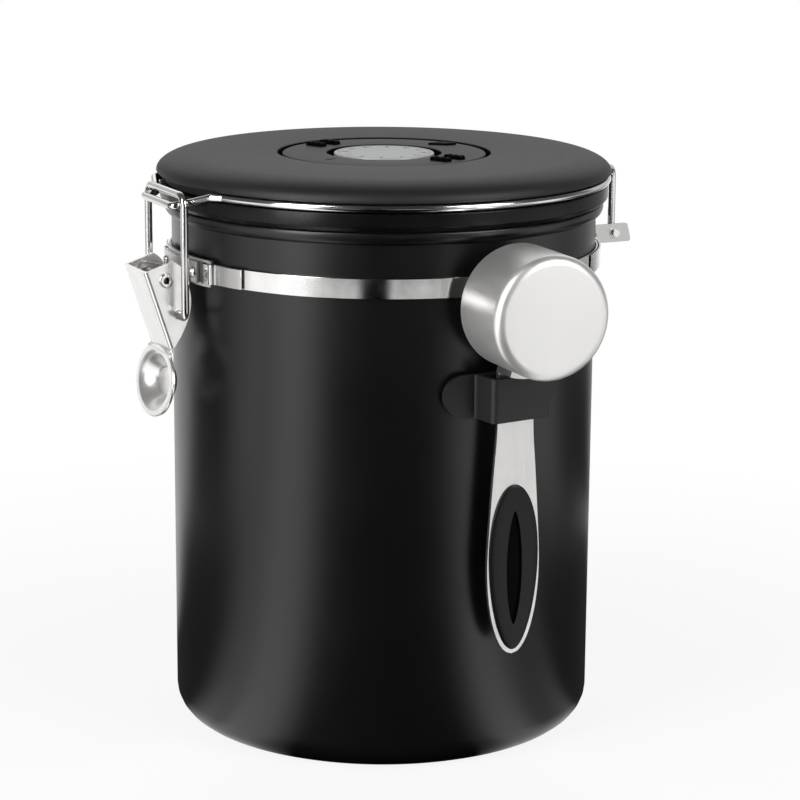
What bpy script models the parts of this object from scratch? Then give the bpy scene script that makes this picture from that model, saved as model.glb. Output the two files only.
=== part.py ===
"""Airtight coffee canister with a wire-hinged lid, an over-centre bail latch and a clip-on scoop.

Metres, +Z up. The can stands on the XY plane with its axis on Z. The latch is at -Y,
the lid hinge at +Y, and the scoop hangs a little past +X. An azimuth is counted from -Y
towards +X, so a point at azimuth a and radius r is (r sin a, -r cos a).
"""
import math

import bmesh
import bpy
from mathutils import Matrix, Vector

# Counts and angles
ring_facets = 44
arc_facets = 4
fine_arc_facets = 3
wire_facets_resolution = 2
rivet_facets = 12
screw_facets = 8
small_facets = 16
disc_facets = 30
weld_distance = 0.00001
cut_overrun = 0.002
seat_gap = 0.0003
fastener_gap = 0.00015

# Can
can_radius = 0.0625
can_wall = 0.0007
can_corner_radius = 0.008
rim_height = 0.1561
rim_bead_width = 0.0021
rim_bead_drop = 0.0036
rim_bead_height = 0.0025
rim_edge_radius = 0.0006
rim_bead_start = math.radians(25)
rim_radius = can_radius + rim_bead_width
neck_height = rim_height - rim_bead_drop
base_groove_inset = 0.0185
base_groove_width = 0.0070
base_groove_depth = 0.001
base_groove_slope = 0.0012
base_groove_outer = can_radius - base_groove_inset
base_groove_inner = base_groove_outer - base_groove_width

# Lid pan, the glossy lower half
pan_overhang = 0.0013
pan_skirt_height = 0.00515
pan_chamfer_rise = 0.0013
pan_chamfer_inset = 0.0011
pan_edge_radius = 0.0004
pan_floor_rise = 0.0010
pan_floor_thickness = 0.0018
pan_wall = 0.0059
pan_radius = rim_radius + pan_overhang
pan_bottom = rim_height + seat_gap
pan_height = pan_bottom + pan_skirt_height
pan_chamfer_height = pan_bottom + pan_chamfer_rise
pan_chamfer_radius = pan_radius - pan_chamfer_inset
pan_floor_height = pan_bottom + pan_floor_rise
pan_wall_inner = pan_radius - pan_wall
plug_clearance = 0.0030
plug_thickness = 0.0018
plug_depth = 0.0026
plug_radius = can_radius - can_wall - plug_clearance
plug_bottom = pan_bottom - plug_depth
gasket_lap = 0.0013
gasket_thickness = 0.0017
gasket_bead_radius = 0.0006
gasket_radius = rim_radius - gasket_lap

# Lid wire in the groove between pan and cover
wire_radius = 0.0011
wire_inset = 0.0003
wire_bend_radius = 0.0030
wire_circle = pan_radius - wire_inset
wire_height = pan_height + seat_gap + wire_radius
wire_step_angle = math.tau / ring_facets

# Lid cover, the matt upper half
cover_overhang = 0.0009
cover_edge_rise = 0.00055
cover_crown = 0.0049
cover_edge_width = 0.0110
cover_edge_inset = 0.0005
cover_shell = 0.0022
cover_wall_thickness = 0.0021
cover_facets = 5
cover_radius = pan_radius + cover_overhang
cover_bottom = wire_height + wire_radius + seat_gap
cover_edge_height = cover_bottom + cover_edge_rise
cover_height = cover_edge_height + cover_crown
cover_flat_radius = cover_radius - cover_edge_width
boss_radius = 0.0031
boss_inset = 0.014
boss_count = 3
boss_circle = pan_wall_inner - boss_inset
screw_radius = 0.00125
screw_head_radius = 0.0026
screw_head_thickness = 0.0013
screw_length = 0.0055
screw_socket_radius = 0.0011
screw_socket_depth = 0.0007

# Date dial in the cover's well
well_radius = 0.0313
well_depth = 0.0046
well_floor_thickness = 0.0020
well_edge_radius = 0.0005
well_floor_height = cover_height - well_depth
hub_radius = 0.0132
hub_bore_radius = 0.0026
dial_edge_clearance = 0.0014
dial_drop = 0.00025
dial_hub_clearance = 0.0005
dial_lip_thickness = 0.0012
disc_overhang = 0.0010
disc_thickness = 0.0012
disc_edge_radius = 0.0004
disc_edge_clearance = 0.0007
disc_stem_length = 0.0022
dial_radius = well_radius - dial_edge_clearance
dial_lip_radius = hub_radius + dial_hub_clearance
disc_radius = dial_lip_radius + disc_overhang
disc_stem_radius = hub_bore_radius - seat_gap
dial_bore_radius = disc_radius + disc_edge_clearance
dial_track_inset = 0.0042
dial_track_width = 0.0016
dial_track_depth = 0.0005
dial_track_radius = dial_bore_radius + dial_track_inset
dial_grip_inset = 0.0054
dial_grip_length = 0.0060
dial_grip_width = 0.0026
dial_grip_height = 0.0013
dial_grip_pair_angle = math.radians(16)
dial_grip_start = math.radians(-69.5)
dial_grip_ribs = 3
dial_grip_circle = dial_radius - dial_grip_inset
dial_notch_width = 0.0030
dial_notch_depth = 0.0032
dial_notch_angle = math.radians(195)

# One-way valve in the middle of the pan
valve_hole_radius = 0.0060
valve_flange_lap = 0.0025
valve_flange_thickness = 0.0012
valve_web_thickness = 0.0010
valve_collar_wall = 0.0014
valve_collar_height = 0.0022
valve_vent_radius = 0.0009
valve_vent_circle = 0.0028
valve_vent_count = 4
valve_vent_turn_share = 0.3
valve_flange_radius = valve_hole_radius + valve_flange_lap
valve_bore_radius = valve_hole_radius - valve_collar_wall
membrane_stem_radius = 0.0008
membrane_edge_clearance = 0.0004
membrane_thickness = 0.0006
membrane_bulb_lap = 0.0003
membrane_bulb_height = 0.0012
membrane_radius = valve_bore_radius - membrane_edge_clearance
membrane_bulb_radius = membrane_stem_radius + membrane_bulb_lap
cap_wall = 0.0010
cap_vent_radius = 0.0015

# Strap: two half bands, each end folded back through its bracket's slot
strap_drop = 0.0157
strap_width = 0.0056
strap_thickness = 0.0005
bracket_sheet = 0.0008
strap_fold_out = 0.01407
strap_bar_out = 0.01530
strap_bar_width = 0.00190
strap_step_down = 0.00156
strap_bar_lap = 0.00056
strap_latch_tail = math.radians(26)
strap_hinge_tail = math.radians(46)
strap_middle = rim_height - strap_drop
wing_radius = can_radius + seat_gap * 2 + strap_thickness + bracket_sheet / 2
strap_fold_angle = strap_fold_out / wing_radius
strap_bar_start = strap_bar_out / wing_radius
strap_bar_end = strap_bar_start + strap_bar_width / wing_radius
strap_drop_angle = strap_step_down / wing_radius
strap_bar_lead = strap_bar_lap / wing_radius

# Latch lever, drawn from its pivot: outward, then up
lever_pivot_out = 0.0097
lever_pivot_drop = 0.0024
lever_half_width = 0.00835
lever_sheet = 0.0009
lever_length = 0.0199
lever_cheek_shares = (
    (0.322, 0.126), (-0.116, 0.271), (-0.246, 0.166), (-0.332, -0.040), (-0.382, -0.307),
    (-0.342, -0.563), (-0.231, -0.809), (-0.116, -0.990), (-0.050, -1.000),
)
lever_bail_hole_out = -0.0035
lever_bail_hole_up = -0.0101
lever_pin_radius = 0.0015
lever_pin_wall = 0.0006
lever_pin_head_lap = 0.0006
lever_pin_head_thickness = 0.0004
lever_pivot_reach = can_radius + lever_pivot_out
lever_pivot_height = strap_middle - lever_pivot_drop
pad_half_width = 0.0140
pad_half_height = 0.0104
pad_middle_out = 0.0009
pad_middle_up = -0.0302
pad_dish_depth = 0.0040
pad_lean = math.radians(-9.4)
pad_facets = 24
pad_rings = 4
neck_inset = 0.00095
neck_start_share = 0.86
neck_end_share = 0.80
neck_half_width = lever_half_width - neck_inset

# Latch bail: a rectangular wire loop hooked over the lid wire's nose
bail_half_width = 0.0140
bail_bend_radius = 0.0034
bail_foot_bend_radius = 0.0022
bail_foot_tail = 0.00045
bail_seat_gap = 0.0004
bail_reach = lever_pivot_reach + lever_bail_hole_out
bail_foot_length = bail_half_width - lever_half_width + lever_sheet + bail_foot_tail

# The lid wire's nose, inside the bail and just outside its bar
nose_drop = 0.00345
nose_slope_share = 0.15
nose_bail_clearance = 0.0002
nose_side_clearance = 0.0005
nose_shoulder_out = 0.0010
nose_step_out = 0.0017
nose_leave_angle = math.radians(21.5)
nose_step_angle = math.radians(18.5)
nose_height = wire_height - nose_drop
nose_reach = bail_reach + wire_radius * 2 + nose_bail_clearance
nose_half_width = bail_half_width - wire_radius * 2 - nose_side_clearance
nose_shoulder_reach = pan_radius + nose_shoulder_out
nose_step_reach = wire_circle + nose_step_out

# Latch bracket and its ears
wing_height = 0.0076
wing_slot_clearance = 0.0003
wing_half_length = 0.01698
wing_slot_out = 0.01240
wing_slot_width = 0.00279
wing_end_angle = wing_half_length / wing_radius
wing_slot_start = wing_slot_out / wing_radius
wing_slot_end = wing_slot_start + wing_slot_width / wing_radius
ear_thickness = 0.0010
ear_height = 0.0060
ear_eye_radius = 0.0032
ear_eye_start = math.radians(72)
ear_eye_end = math.radians(261)
ear_root_top = 0.0012
ear_root_bottom = 0.0046
latch_rivet_out = 0.00175
latch_rivet_edge = 0.0017
rivet_radius = 0.0008
rivet_dome_radius = 0.0015
rivet_dome_height = 0.0009
latch_rivet_offset = lever_half_width + latch_rivet_out
ear_flange_half_width = latch_rivet_offset + latch_rivet_edge

# Lid hinge: the wire's ends turn in the bracket's lugs
hinge_out = 0.0049
hinge_rise = 0.0026
hinge_leg_half_width = 0.0128
hinge_leave_angle = math.radians(20)
hinge_end_length = 0.0034
hinge_bracket_rise = 0.0066
hinge_bracket_corner = 0.0012
hinge_lug_height = 0.0056
hinge_lug_end = 0.0058
hinge_lug_slant = 0.0014
hinge_lug_root_height = 0.0022
hinge_lug_strap_gap = 0.0006
hinge_reach = wire_circle + hinge_out
hinge_height = strap_middle + hinge_rise
hinge_bracket_top = strap_middle + hinge_bracket_rise
hinge_lug_reach = hinge_reach + hinge_lug_end

# Scoop holder, stuck on the can
scoop_azimuth = math.radians(96)
scoop_yaw = math.radians(-8)
holder_drop = 0.0306
holder_height = 0.0124
holder_half_length = 0.0188
holder_plate_thickness = 0.0012
holder_slot_out = 0.0037
holder_slot_depth = 0.0058
holder_wall = 0.0013
holder_slot_clearance = 0.0004
holder_corner_radius = 0.0018
holder_shoulder = 0.0030
holder_middle = strap_middle - holder_drop
holder_slot_inner = can_radius + holder_slot_out
holder_slot_outer = holder_slot_inner + holder_slot_depth
foam_thickness = 0.0006
foam_inset = 0.0008

# Scoop: cup, steel handle and moulded grip
cup_radius = 0.0173
cup_wall = 0.0008
cup_depth = 0.0225
cup_corner_radius = 0.0026
cup_facets = 32
handle_slot_out = 0.0030
handle_sheet = 0.0012
handle_length = 0.0823
handle_half_width = 0.0081
handle_tab_depth = 0.0080
handle_tab_thickness = 0.0016
handle_tab_half_angle = math.radians(17)
handle_station_shares = (
    (0.00, 0.69), (0.20, 0.69), (0.35, 0.80), (0.49, 0.90), (0.60, 0.97), (0.68, 1.00),
    (0.76, 0.97), (0.84, 0.87), (0.91, 0.70), (0.96, 0.49), (0.99, 0.25),
)
handle_reach = holder_slot_inner + handle_slot_out
cup_mouth_reach = handle_reach + seat_gap
cup_middle = holder_middle + holder_height / 2 + seat_gap + handle_tab_thickness + seat_gap + cup_radius
handle_tip_height = cup_middle - cup_radius - seat_gap - handle_sheet / 2 - handle_length
grip_tip_inset = 0.0013
grip_length = 0.0472
grip_side_inset = 0.0007
grip_plug_side_inset = 0.0022
grip_plug_inset = 0.0030
grip_thickness = 0.0028
grip_plug_step = 0.0002
grip_egg_share = 0.14
grip_facets = 24
grip_slot_half_width = 0.0027
grip_slot_inset = 0.0058
grip_slot_depth = 0.0006
grip_bottom_height = handle_tip_height + grip_tip_inset
grip_top_height = grip_bottom_height + grip_length
grip_half_width = handle_half_width - grip_side_inset
grip_plug_half_width = grip_half_width - grip_plug_side_inset

# Colour, roughness and metallic value of each finish
finishes = {
    "black_powder_coat": ((0.018, 0.018, 0.019), 0.38, 0.0),
    "polished_steel": ((0.78, 0.78, 0.78), 0.10, 1.0),
    "brushed_steel": ((0.70, 0.70, 0.70), 0.34, 1.0),
    "black_gloss_plastic": ((0.012, 0.012, 0.013), 0.16, 0.0),
    "black_matt_plastic": ((0.030, 0.030, 0.031), 0.48, 0.0),
    "silver_plastic": ((0.62, 0.62, 0.63), 0.30, 0.6),
    "clear_silicone": ((0.72, 0.72, 0.70), 0.42, 0.0),
    "grey_foam": ((0.25, 0.25, 0.26), 0.80, 0.0),
}


def clear_scene():
    """Remove every object that the file already holds."""
    for item in list(bpy.data.objects):
        bpy.data.objects.remove(item, do_unlink=True)


def finish(name, node):
    """A Principled material for one node, named after the node."""
    colour, roughness, metallic = finishes[name]
    material = bpy.data.materials.new(node)
    material.use_nodes = True
    shader = material.node_tree.nodes["Principled BSDF"]
    shader.inputs["Base Color"].default_value = (*colour, 1.0)
    shader.inputs["Roughness"].default_value = roughness
    shader.inputs["Metallic"].default_value = metallic
    return material


def node_from(name, shape, finish_name):
    """Turn a bmesh into a named object with outward normals and smooth round faces."""
    bmesh.ops.remove_doubles(shape, verts=shape.verts, dist=weld_distance)
    bmesh.ops.recalc_face_normals(shape, faces=shape.faces)
    mesh = bpy.data.meshes.new(name)
    shape.to_mesh(mesh)
    shape.free()
    smooth(mesh)
    item = bpy.data.objects.new(name, mesh)
    bpy.context.scene.collection.objects.link(item)
    mesh.materials.append(finish(finish_name, name))
    return item


def smooth(mesh):
    """Smooth shading with edges kept sharp above 35 degrees."""
    mesh.shade_smooth()
    mesh.set_sharp_from_angle(angle=math.radians(35))


def arc(centre, radius_across, radius_up, start, end, steps=arc_facets):
    """Points of an elliptical arc in a plane, both ends included."""
    points = []
    for step in range(steps + 1):
        angle = start + (end - start) * step / steps
        points.append((centre[0] + radius_across * math.cos(angle), centre[1] + radius_up * math.sin(angle)))
    return points


def around(azimuth, radius, height=0.0):
    """The point at an azimuth, a radius and a height."""
    return Vector((radius * math.sin(azimuth), -radius * math.cos(azimuth), height))


def lathe(name, outline, finish_name, facets=ring_facets):
    """A solid of revolution about Z from an outline of (radius, height) points."""
    shape = bmesh.new()
    points = [shape.verts.new((radius, 0.0, height)) for radius, height in outline]
    pairs = list(zip(points, points[1:]))
    if outline[0][0] > 0.0:
        pairs.append((points[-1], points[0]))
    edges = [shape.edges.new(pair) for pair in pairs]
    bmesh.ops.spin(
        shape, geom=points + edges, cent=(0.0, 0.0, 0.0), axis=(0.0, 0.0, 1.0),
        angle=math.tau, steps=facets, use_merge=True, use_duplicate=False,
    )
    return node_from(name, shape, finish_name)


def prism(name, outline, low, high, frame, finish_name):
    """An outline of (across, up) points extruded from low to high, then placed by a frame.

    The frame's X is the outline's first axis, its Z the second, and the extrusion runs along its Y.
    """
    shape = bmesh.new()
    face = shape.faces.new([shape.verts.new((across, low, up)) for across, up in outline])
    grown = bmesh.ops.extrude_face_region(shape, geom=[face])
    moved = [part for part in grown["geom"] if isinstance(part, bmesh.types.BMVert)]
    bmesh.ops.translate(shape, verts=moved, vec=(0.0, high - low, 0.0))
    bmesh.ops.transform(shape, matrix=frame, verts=shape.verts)
    return node_from(name, shape, finish_name)


def band(name, path, thickness, low, high, finish_name):
    """A strip that follows a path in the XY plane, from one height to another."""
    shape = bmesh.new()
    rings = []
    for index, point in enumerate(path):
        before = path[max(index - 1, 0)]
        after = path[min(index + 1, len(path) - 1)]
        along = (after - before).normalized()
        side = Vector((along.y, -along.x)) * thickness / 2
        ring = []
        for offset, height in ((side, low), (side, high), (-side, high), (-side, low)):
            ring.append(shape.verts.new((point.x + offset.x, point.y + offset.y, height)))
        rings.append(ring)
    for first, second in zip(rings, rings[1:]):
        for corner in range(len(first)):
            following = (corner + 1) % len(first)
            shape.faces.new((first[corner], first[following], second[following], second[corner]))
    shape.faces.new(rings[0])
    shape.faces.new(rings[-1])
    return node_from(name, shape, finish_name)


def rounded(points, radii, steps=arc_facets):
    """A path through 3-D points with each inner corner rounded to its radius."""
    path = [points[0]]
    for before, corner, after, radius in zip(points, points[1:], points[2:], radii):
        back = (before - corner).normalized()
        ahead = (after - corner).normalized()
        half_angle = back.angle(ahead) / 2
        reach = radius / math.tan(half_angle)
        centre = corner + (back + ahead).normalized() * radius / math.sin(half_angle)
        start = corner + back * reach - centre
        end = corner + ahead * reach - centre
        for step in range(steps + 1):
            path.append(centre + start.slerp(end, step / steps).normalized() * radius)
    path.append(points[-1])
    return path


def wire(name, path, radius, finish_name):
    """A round wire along a path, from a bevelled curve with filled ends."""
    curve = bpy.data.curves.new(name, "CURVE")
    curve.dimensions = "3D"
    curve.bevel_depth = radius
    curve.bevel_resolution = wire_facets_resolution
    curve.use_fill_caps = True
    spline = curve.splines.new("POLY")
    spline.points.add(len(path) - 1)
    for target, point in zip(spline.points, path):
        target.co = (*point, 1.0)
    drawn = bpy.data.objects.new(name, curve)
    bpy.context.scene.collection.objects.link(drawn)
    mesh = drawn.to_mesh()
    shape = bmesh.new()
    shape.from_mesh(mesh)
    drawn.to_mesh_clear()
    bpy.data.objects.remove(drawn, do_unlink=True)
    bpy.data.curves.remove(curve)
    return node_from(name, shape, finish_name)


def combine(target, tool, operation):
    """Join, cut or intersect the target with a tool solid, which is then removed."""
    modifier = target.modifiers.new(operation.lower(), "BOOLEAN")
    modifier.operation = operation
    modifier.solver = "EXACT"
    modifier.object = tool
    graph = bpy.context.evaluated_depsgraph_get()
    mesh = bpy.data.meshes.new_from_object(target.evaluated_get(graph))
    target.modifiers.clear()
    old = target.data
    target.data = mesh
    bpy.data.meshes.remove(old)
    bpy.data.objects.remove(tool, do_unlink=True)
    mesh.materials.clear()
    mesh.materials.append(bpy.data.materials[target.name])
    for face in mesh.polygons:
        face.material_index = 0
    smooth(mesh)


def rod(radius, start, end, facets=rivet_facets):
    """A plain cylinder between two points, used as a tool."""
    along = end - start
    shape = bmesh.new()
    bmesh.ops.create_cone(
        shape, cap_ends=True, segments=facets, radius1=radius, radius2=radius, depth=along.length,
        matrix=Matrix.Translation((start + end) / 2) @ along.to_track_quat("Z", "Y").to_matrix().to_4x4(),
    )
    return node_from("rod", shape, "polished_steel")


def turned(azimuth):
    """Rotation that brings the -Y direction to an azimuth."""
    return Matrix.Rotation(azimuth, 4, "Z")


# A prism's outline is (Y, Z) and its length runs along X
sideways = Matrix(((0, 1, 0, 0), (1, 0, 0, 0), (0, 0, 1, 0), (0, 0, 0, 1)))

# A prism's outline is (X, Y) and its length runs along Z
upright = Matrix(((1, 0, 0, 0), (0, 0, 1, 0), (0, 1, 0, 0), (0, 0, 0, 1)))


def box_outline(across_low, across_high, up_low, up_high):
    """The four corners of a rectangle."""
    return (
        (across_low, up_low), (across_high, up_low), (across_high, up_high), (across_low, up_high),
    )


def carry(pieces, name, place):
    """Hang pieces on an empty at their joint's axis, with their places unchanged."""
    empty = bpy.data.objects.new(name, None)
    empty.location = place
    bpy.context.scene.collection.objects.link(empty)
    for piece in pieces:
        piece.parent = empty
        piece.matrix_parent_inverse = Matrix.Translation(place).inverted()
    return empty


# Can


def can_body():
    """Drawn can: stamped base, round corner, straight wall and a rolled bead at the mouth."""
    inner_radius = can_radius - can_wall
    corner = (can_radius - can_corner_radius, can_corner_radius)
    bead_centre = (can_radius, neck_height + rim_bead_height)
    bead = rim_radius - can_radius
    edge = (rim_radius - rim_edge_radius, rim_height - rim_edge_radius)
    groove = (
        (base_groove_inner - base_groove_slope, 0.0), (base_groove_inner, base_groove_depth),
        (base_groove_outer, base_groove_depth), (base_groove_outer + base_groove_slope, 0.0),
    )
    outline = [(0.0, 0.0), *groove]
    outline += arc(corner, can_corner_radius, can_corner_radius, -math.pi / 2, 0.0)
    outline += [(can_radius, neck_height)]
    outline += arc(bead_centre, bead, rim_bead_height, -math.pi / 2 + rim_bead_start, 0.0, fine_arc_facets)
    outline += arc(edge, rim_edge_radius, rim_edge_radius, 0.0, math.pi / 2, 1)
    outline += [(inner_radius + rim_edge_radius, rim_height), (inner_radius, rim_height - rim_edge_radius)]
    inner_corner = can_corner_radius - can_wall
    outline += arc(corner, inner_corner, inner_corner, 0.0, -math.pi / 2, fine_arc_facets)
    outline += [(radius, height + can_wall) for radius, height in reversed(groove)]
    outline += [(0.0, can_wall)]
    return lathe("can_body", outline, "black_powder_coat")


# Lid


def lid_pan():
    """Lower half of the lid: skirt, gasket seat, plug lip and a floor with the valve's hole."""
    gasket_top = pan_bottom + gasket_thickness + seat_gap
    outline = [(valve_hole_radius, pan_floor_height + pan_floor_thickness)]
    outline += [(pan_wall_inner, pan_floor_height + pan_floor_thickness), (pan_wall_inner, pan_height)]
    outline += [(pan_radius - pan_edge_radius, pan_height), (pan_radius, pan_height - pan_edge_radius)]
    outline += [(pan_radius, pan_chamfer_height), (pan_chamfer_radius, pan_bottom)]
    outline += [(gasket_radius + seat_gap, pan_bottom), (gasket_radius + seat_gap, gasket_top)]
    outline += [(plug_radius, gasket_top), (plug_radius, plug_bottom)]
    outline += [(plug_radius - plug_thickness, plug_bottom)]
    outline += [(plug_radius - plug_thickness, pan_floor_height), (valve_hole_radius, pan_floor_height)]
    pan = lathe("lid_pan", outline, "black_gloss_plastic")
    for place in screw_places():
        bottom = place + Vector((0.0, 0.0, pan_floor_height - cut_overrun))
        top = place + Vector((0.0, 0.0, pan_floor_height + pan_floor_thickness + cut_overrun))
        combine(pan, rod(screw_radius + fastener_gap, bottom, top, screw_facets), "DIFFERENCE")
    return pan


def lid_gasket():
    """Silicone ring under the pan, with two low beads that press on the can's mouth."""
    inner = plug_radius + seat_gap
    low = pan_bottom
    high = low + gasket_thickness
    bead_middle = (inner + gasket_radius) / 2
    outline = [(inner, high), (gasket_radius, high), (gasket_radius, low)]
    outline += [(bead_middle + gasket_bead_radius, low), (bead_middle, low + gasket_bead_radius)]
    outline += [(bead_middle - gasket_bead_radius, low), (inner, low)]
    return lathe("lid_gasket", outline, "clear_silicone")


def screw_places():
    """Points on the XY plane under the lid's screws."""
    return [around(math.tau * (index + 0.5) / boss_count, boss_circle) for index in range(boss_count)]


def lid_cover():
    """Upper half of the lid: low crowned shell with a well for the dial, a hub and screw bosses."""
    under = cover_height - cover_shell
    wall_outer = wire_circle - wire_radius - seat_gap
    wall_inner = wall_outer - cover_wall_thickness
    wall_bottom = pan_height + seat_gap
    floor_bottom = well_floor_height - well_floor_thickness
    hub_top = disc_bottom() - seat_gap
    outline = [(hub_bore_radius, hub_top), (hub_radius, hub_top), (hub_radius, well_floor_height)]
    outline += [(well_radius, well_floor_height), (well_radius, cover_height - well_edge_radius)]
    outline += [(well_radius + well_edge_radius, cover_height)]
    edge = (cover_flat_radius, cover_edge_height)
    edge_across = cover_radius - cover_flat_radius
    outline += arc(edge, edge_across, cover_height - cover_edge_height, math.pi / 2, 0.0, cover_facets)
    outline += [(cover_radius - cover_edge_inset, cover_bottom), (wall_outer, cover_bottom)]
    outline += [(wall_outer, wall_bottom), (wall_inner, wall_bottom), (wall_inner, under - cover_shell)]
    outline += [(wall_inner - cover_shell, under), (well_radius + cover_shell, under)]
    outline += [(well_radius + cover_shell, floor_bottom), (hub_bore_radius, floor_bottom)]
    cover = lathe("lid_cover", outline, "black_matt_plastic")
    boss_bottom = pan_floor_height + pan_floor_thickness + seat_gap
    for place in screw_places():
        low = place + Vector((0.0, 0.0, boss_bottom))
        high = place + Vector((0.0, 0.0, under + cover_shell / 2))
        combine(cover, rod(boss_radius, low, high, screw_facets), "UNION")
        low = place + Vector((0.0, 0.0, boss_bottom - cut_overrun))
        high = place + Vector((0.0, 0.0, screw_tip() + seat_gap))
        combine(cover, rod(screw_radius + fastener_gap, low, high, screw_facets), "DIFFERENCE")
    return cover


def screw_tip():
    """Height that a lid screw's end reaches."""
    return pan_floor_height - fastener_gap + screw_length


def lid_screws():
    """Socket-head screws that hold the pan to the cover's bosses from below."""
    screws = []
    head_top = pan_floor_height - fastener_gap
    head_bottom = head_top - screw_head_thickness
    socket_floor = head_bottom + screw_socket_depth
    for index, place in enumerate(screw_places()):
        outline = [(0.0, socket_floor), (screw_socket_radius, socket_floor)]
        outline += [(screw_socket_radius, head_bottom)]
        outline += [(screw_head_radius, head_bottom), (screw_head_radius, head_top)]
        outline += [(screw_radius, head_top), (screw_radius, screw_tip() - screw_radius)]
        outline += [(screw_radius / 2, screw_tip()), (0.0, screw_tip())]
        screw = lathe(f"lid_screw_{index + 1}", outline, "brushed_steel", screw_facets)
        screw.data.transform(Matrix.Translation(place))
        screws.append(screw)
    return screws


def disc_bottom():
    """Height of the dial disc's underside."""
    return cover_height - dial_drop - disc_thickness


def dial_disc():
    """Silver centre disc, plugged into the cover's hub."""
    top = cover_height - dial_drop
    outline = [(0.0, top), (disc_radius - disc_edge_radius, top), (disc_radius, top - disc_edge_radius)]
    outline += [(disc_radius, disc_bottom()), (disc_stem_radius, disc_bottom())]
    stem_end = disc_bottom() - disc_stem_length
    outline += [(disc_stem_radius, stem_end), (0.0, stem_end)]
    return lathe("dial_disc", outline, "silver_plastic", disc_facets)


def date_ring():
    """Turning date ring, kept down by its lip under the disc, with ribbed finger grips."""
    bottom = well_floor_height + seat_gap
    top = cover_height - dial_drop
    outline = [(dial_lip_radius, bottom), (dial_radius, bottom)]
    outline += [(dial_radius, top - well_edge_radius), (dial_radius - well_edge_radius, top)]
    outline += [(dial_track_radius + dial_track_width, top)]
    outline += [(dial_track_radius + dial_track_width, top - dial_track_depth)]
    outline += [(dial_track_radius, top - dial_track_depth), (dial_track_radius, top)]
    outline += [(dial_bore_radius, top), (dial_bore_radius, bottom + dial_lip_thickness)]
    outline += [(dial_lip_radius, bottom + dial_lip_thickness)]
    ring = lathe("date_ring", outline, "black_matt_plastic")
    for side in (0.0, math.pi):
        for offset in (0.0, dial_grip_pair_angle):
            grip = dial_grip(top, dial_grip_start + side + offset)
            combine(ring, grip, "UNION")
    half = dial_notch_width / 2
    edge = -dial_radius - cut_overrun
    notch = prism(
        "notch", ((-half, edge), (half, edge), (0.0, -dial_radius + dial_notch_depth)),
        top - dial_track_depth, top + cut_overrun, turned(dial_notch_angle) @ upright, "black_matt_plastic",
    )
    combine(ring, notch, "DIFFERENCE")
    return ring


def dial_grip(top, azimuth):
    """One finger grip: a short bar along the ring with rounded ribs across its top."""
    half = dial_grip_length / 2
    rib = dial_grip_length / dial_grip_ribs
    outline = [(-half, top - dial_grip_height / 2)]
    for index in range(dial_grip_ribs):
        middle = -half + rib * (index + 0.5)
        base = top + dial_grip_height - rib / 4
        outline += arc((middle, base), rib / 2 - weld_distance * 2, rib / 4, math.pi, 0.0, fine_arc_facets)
    outline += [(half, top - dial_grip_height / 2)]
    low = -dial_grip_circle - dial_grip_width / 2
    high = -dial_grip_circle + dial_grip_width / 2
    return prism("grip", outline, low, high, turned(azimuth), "black_matt_plastic")


def valve_body():
    """Valve housing pressed into the pan's floor: flange below, web with vents, collar above."""
    web_top = pan_floor_height + valve_web_thickness / 2
    web_bottom = web_top - valve_web_thickness
    flange_top = pan_floor_height - fastener_gap
    flange_bottom = flange_top - valve_flange_thickness
    collar_radius = valve_hole_radius - fastener_gap
    collar_top = pan_floor_height + pan_floor_thickness + valve_collar_height
    outline = [(membrane_stem_radius + fastener_gap, web_top), (valve_bore_radius, web_top)]
    outline += [(valve_bore_radius, collar_top), (collar_radius, collar_top), (collar_radius, flange_top)]
    outline += [(valve_flange_radius, flange_top)]
    outline += [(valve_flange_radius - valve_flange_thickness, flange_bottom)]
    outline += [(valve_bore_radius, flange_bottom), (valve_bore_radius, web_bottom)]
    outline += [(membrane_stem_radius + fastener_gap, web_bottom)]
    body = lathe("valve_body", outline, "black_matt_plastic", small_facets)
    for index in range(valve_vent_count):
        place = around(math.tau * (index + valve_vent_turn_share) / valve_vent_count, valve_vent_circle)
        low = place + Vector((0.0, 0.0, web_bottom - cut_overrun))
        high = place + Vector((0.0, 0.0, web_top + cut_overrun))
        combine(body, rod(valve_vent_radius, low, high, 8), "DIFFERENCE")
    return body


def valve_membrane():
    """Silicone umbrella that lies on the valve's web and lets gas out only."""
    low = pan_floor_height + valve_web_thickness / 2 + fastener_gap
    web_bottom = pan_floor_height - valve_web_thickness / 2 - fastener_gap
    outline = [(0.0, low + membrane_thickness), (membrane_radius, low + membrane_thickness / 2)]
    outline += [(membrane_radius, low), (membrane_stem_radius, low), (membrane_stem_radius, web_bottom)]
    outline += [(membrane_bulb_radius, web_bottom - fastener_gap)]
    outline += [(membrane_stem_radius / 2, web_bottom - membrane_bulb_height)]
    outline += [(0.0, web_bottom - membrane_bulb_height)]
    return lathe("valve_membrane", outline, "clear_silicone", small_facets)


def valve_cap():
    """Cap over the valve's collar, with a vent in its middle."""
    inner = valve_hole_radius
    bottom = pan_floor_height + pan_floor_thickness + seat_gap
    top = pan_floor_height + pan_floor_thickness + valve_collar_height + fastener_gap
    outline = [(inner, bottom), (inner + cap_wall, bottom), (inner + cap_wall, top + cap_wall / 2)]
    outline += [(inner + cap_wall / 2, top + cap_wall), (cap_vent_radius, top + cap_wall)]
    outline += [(cap_vent_radius, top), (inner, top)]
    return lathe("valve_cap", outline, "black_matt_plastic", small_facets)


def lid_wire():
    """One wire: out of the right lug, up, round the lid past the nose, and down to the left lug."""
    half = half_wire_path()
    mirrored = [Vector((-point.x, point.y, point.z)) for point in reversed(half[:-1])]
    return wire("lid_wire", half + mirrored, wire_radius, "polished_steel")


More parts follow.
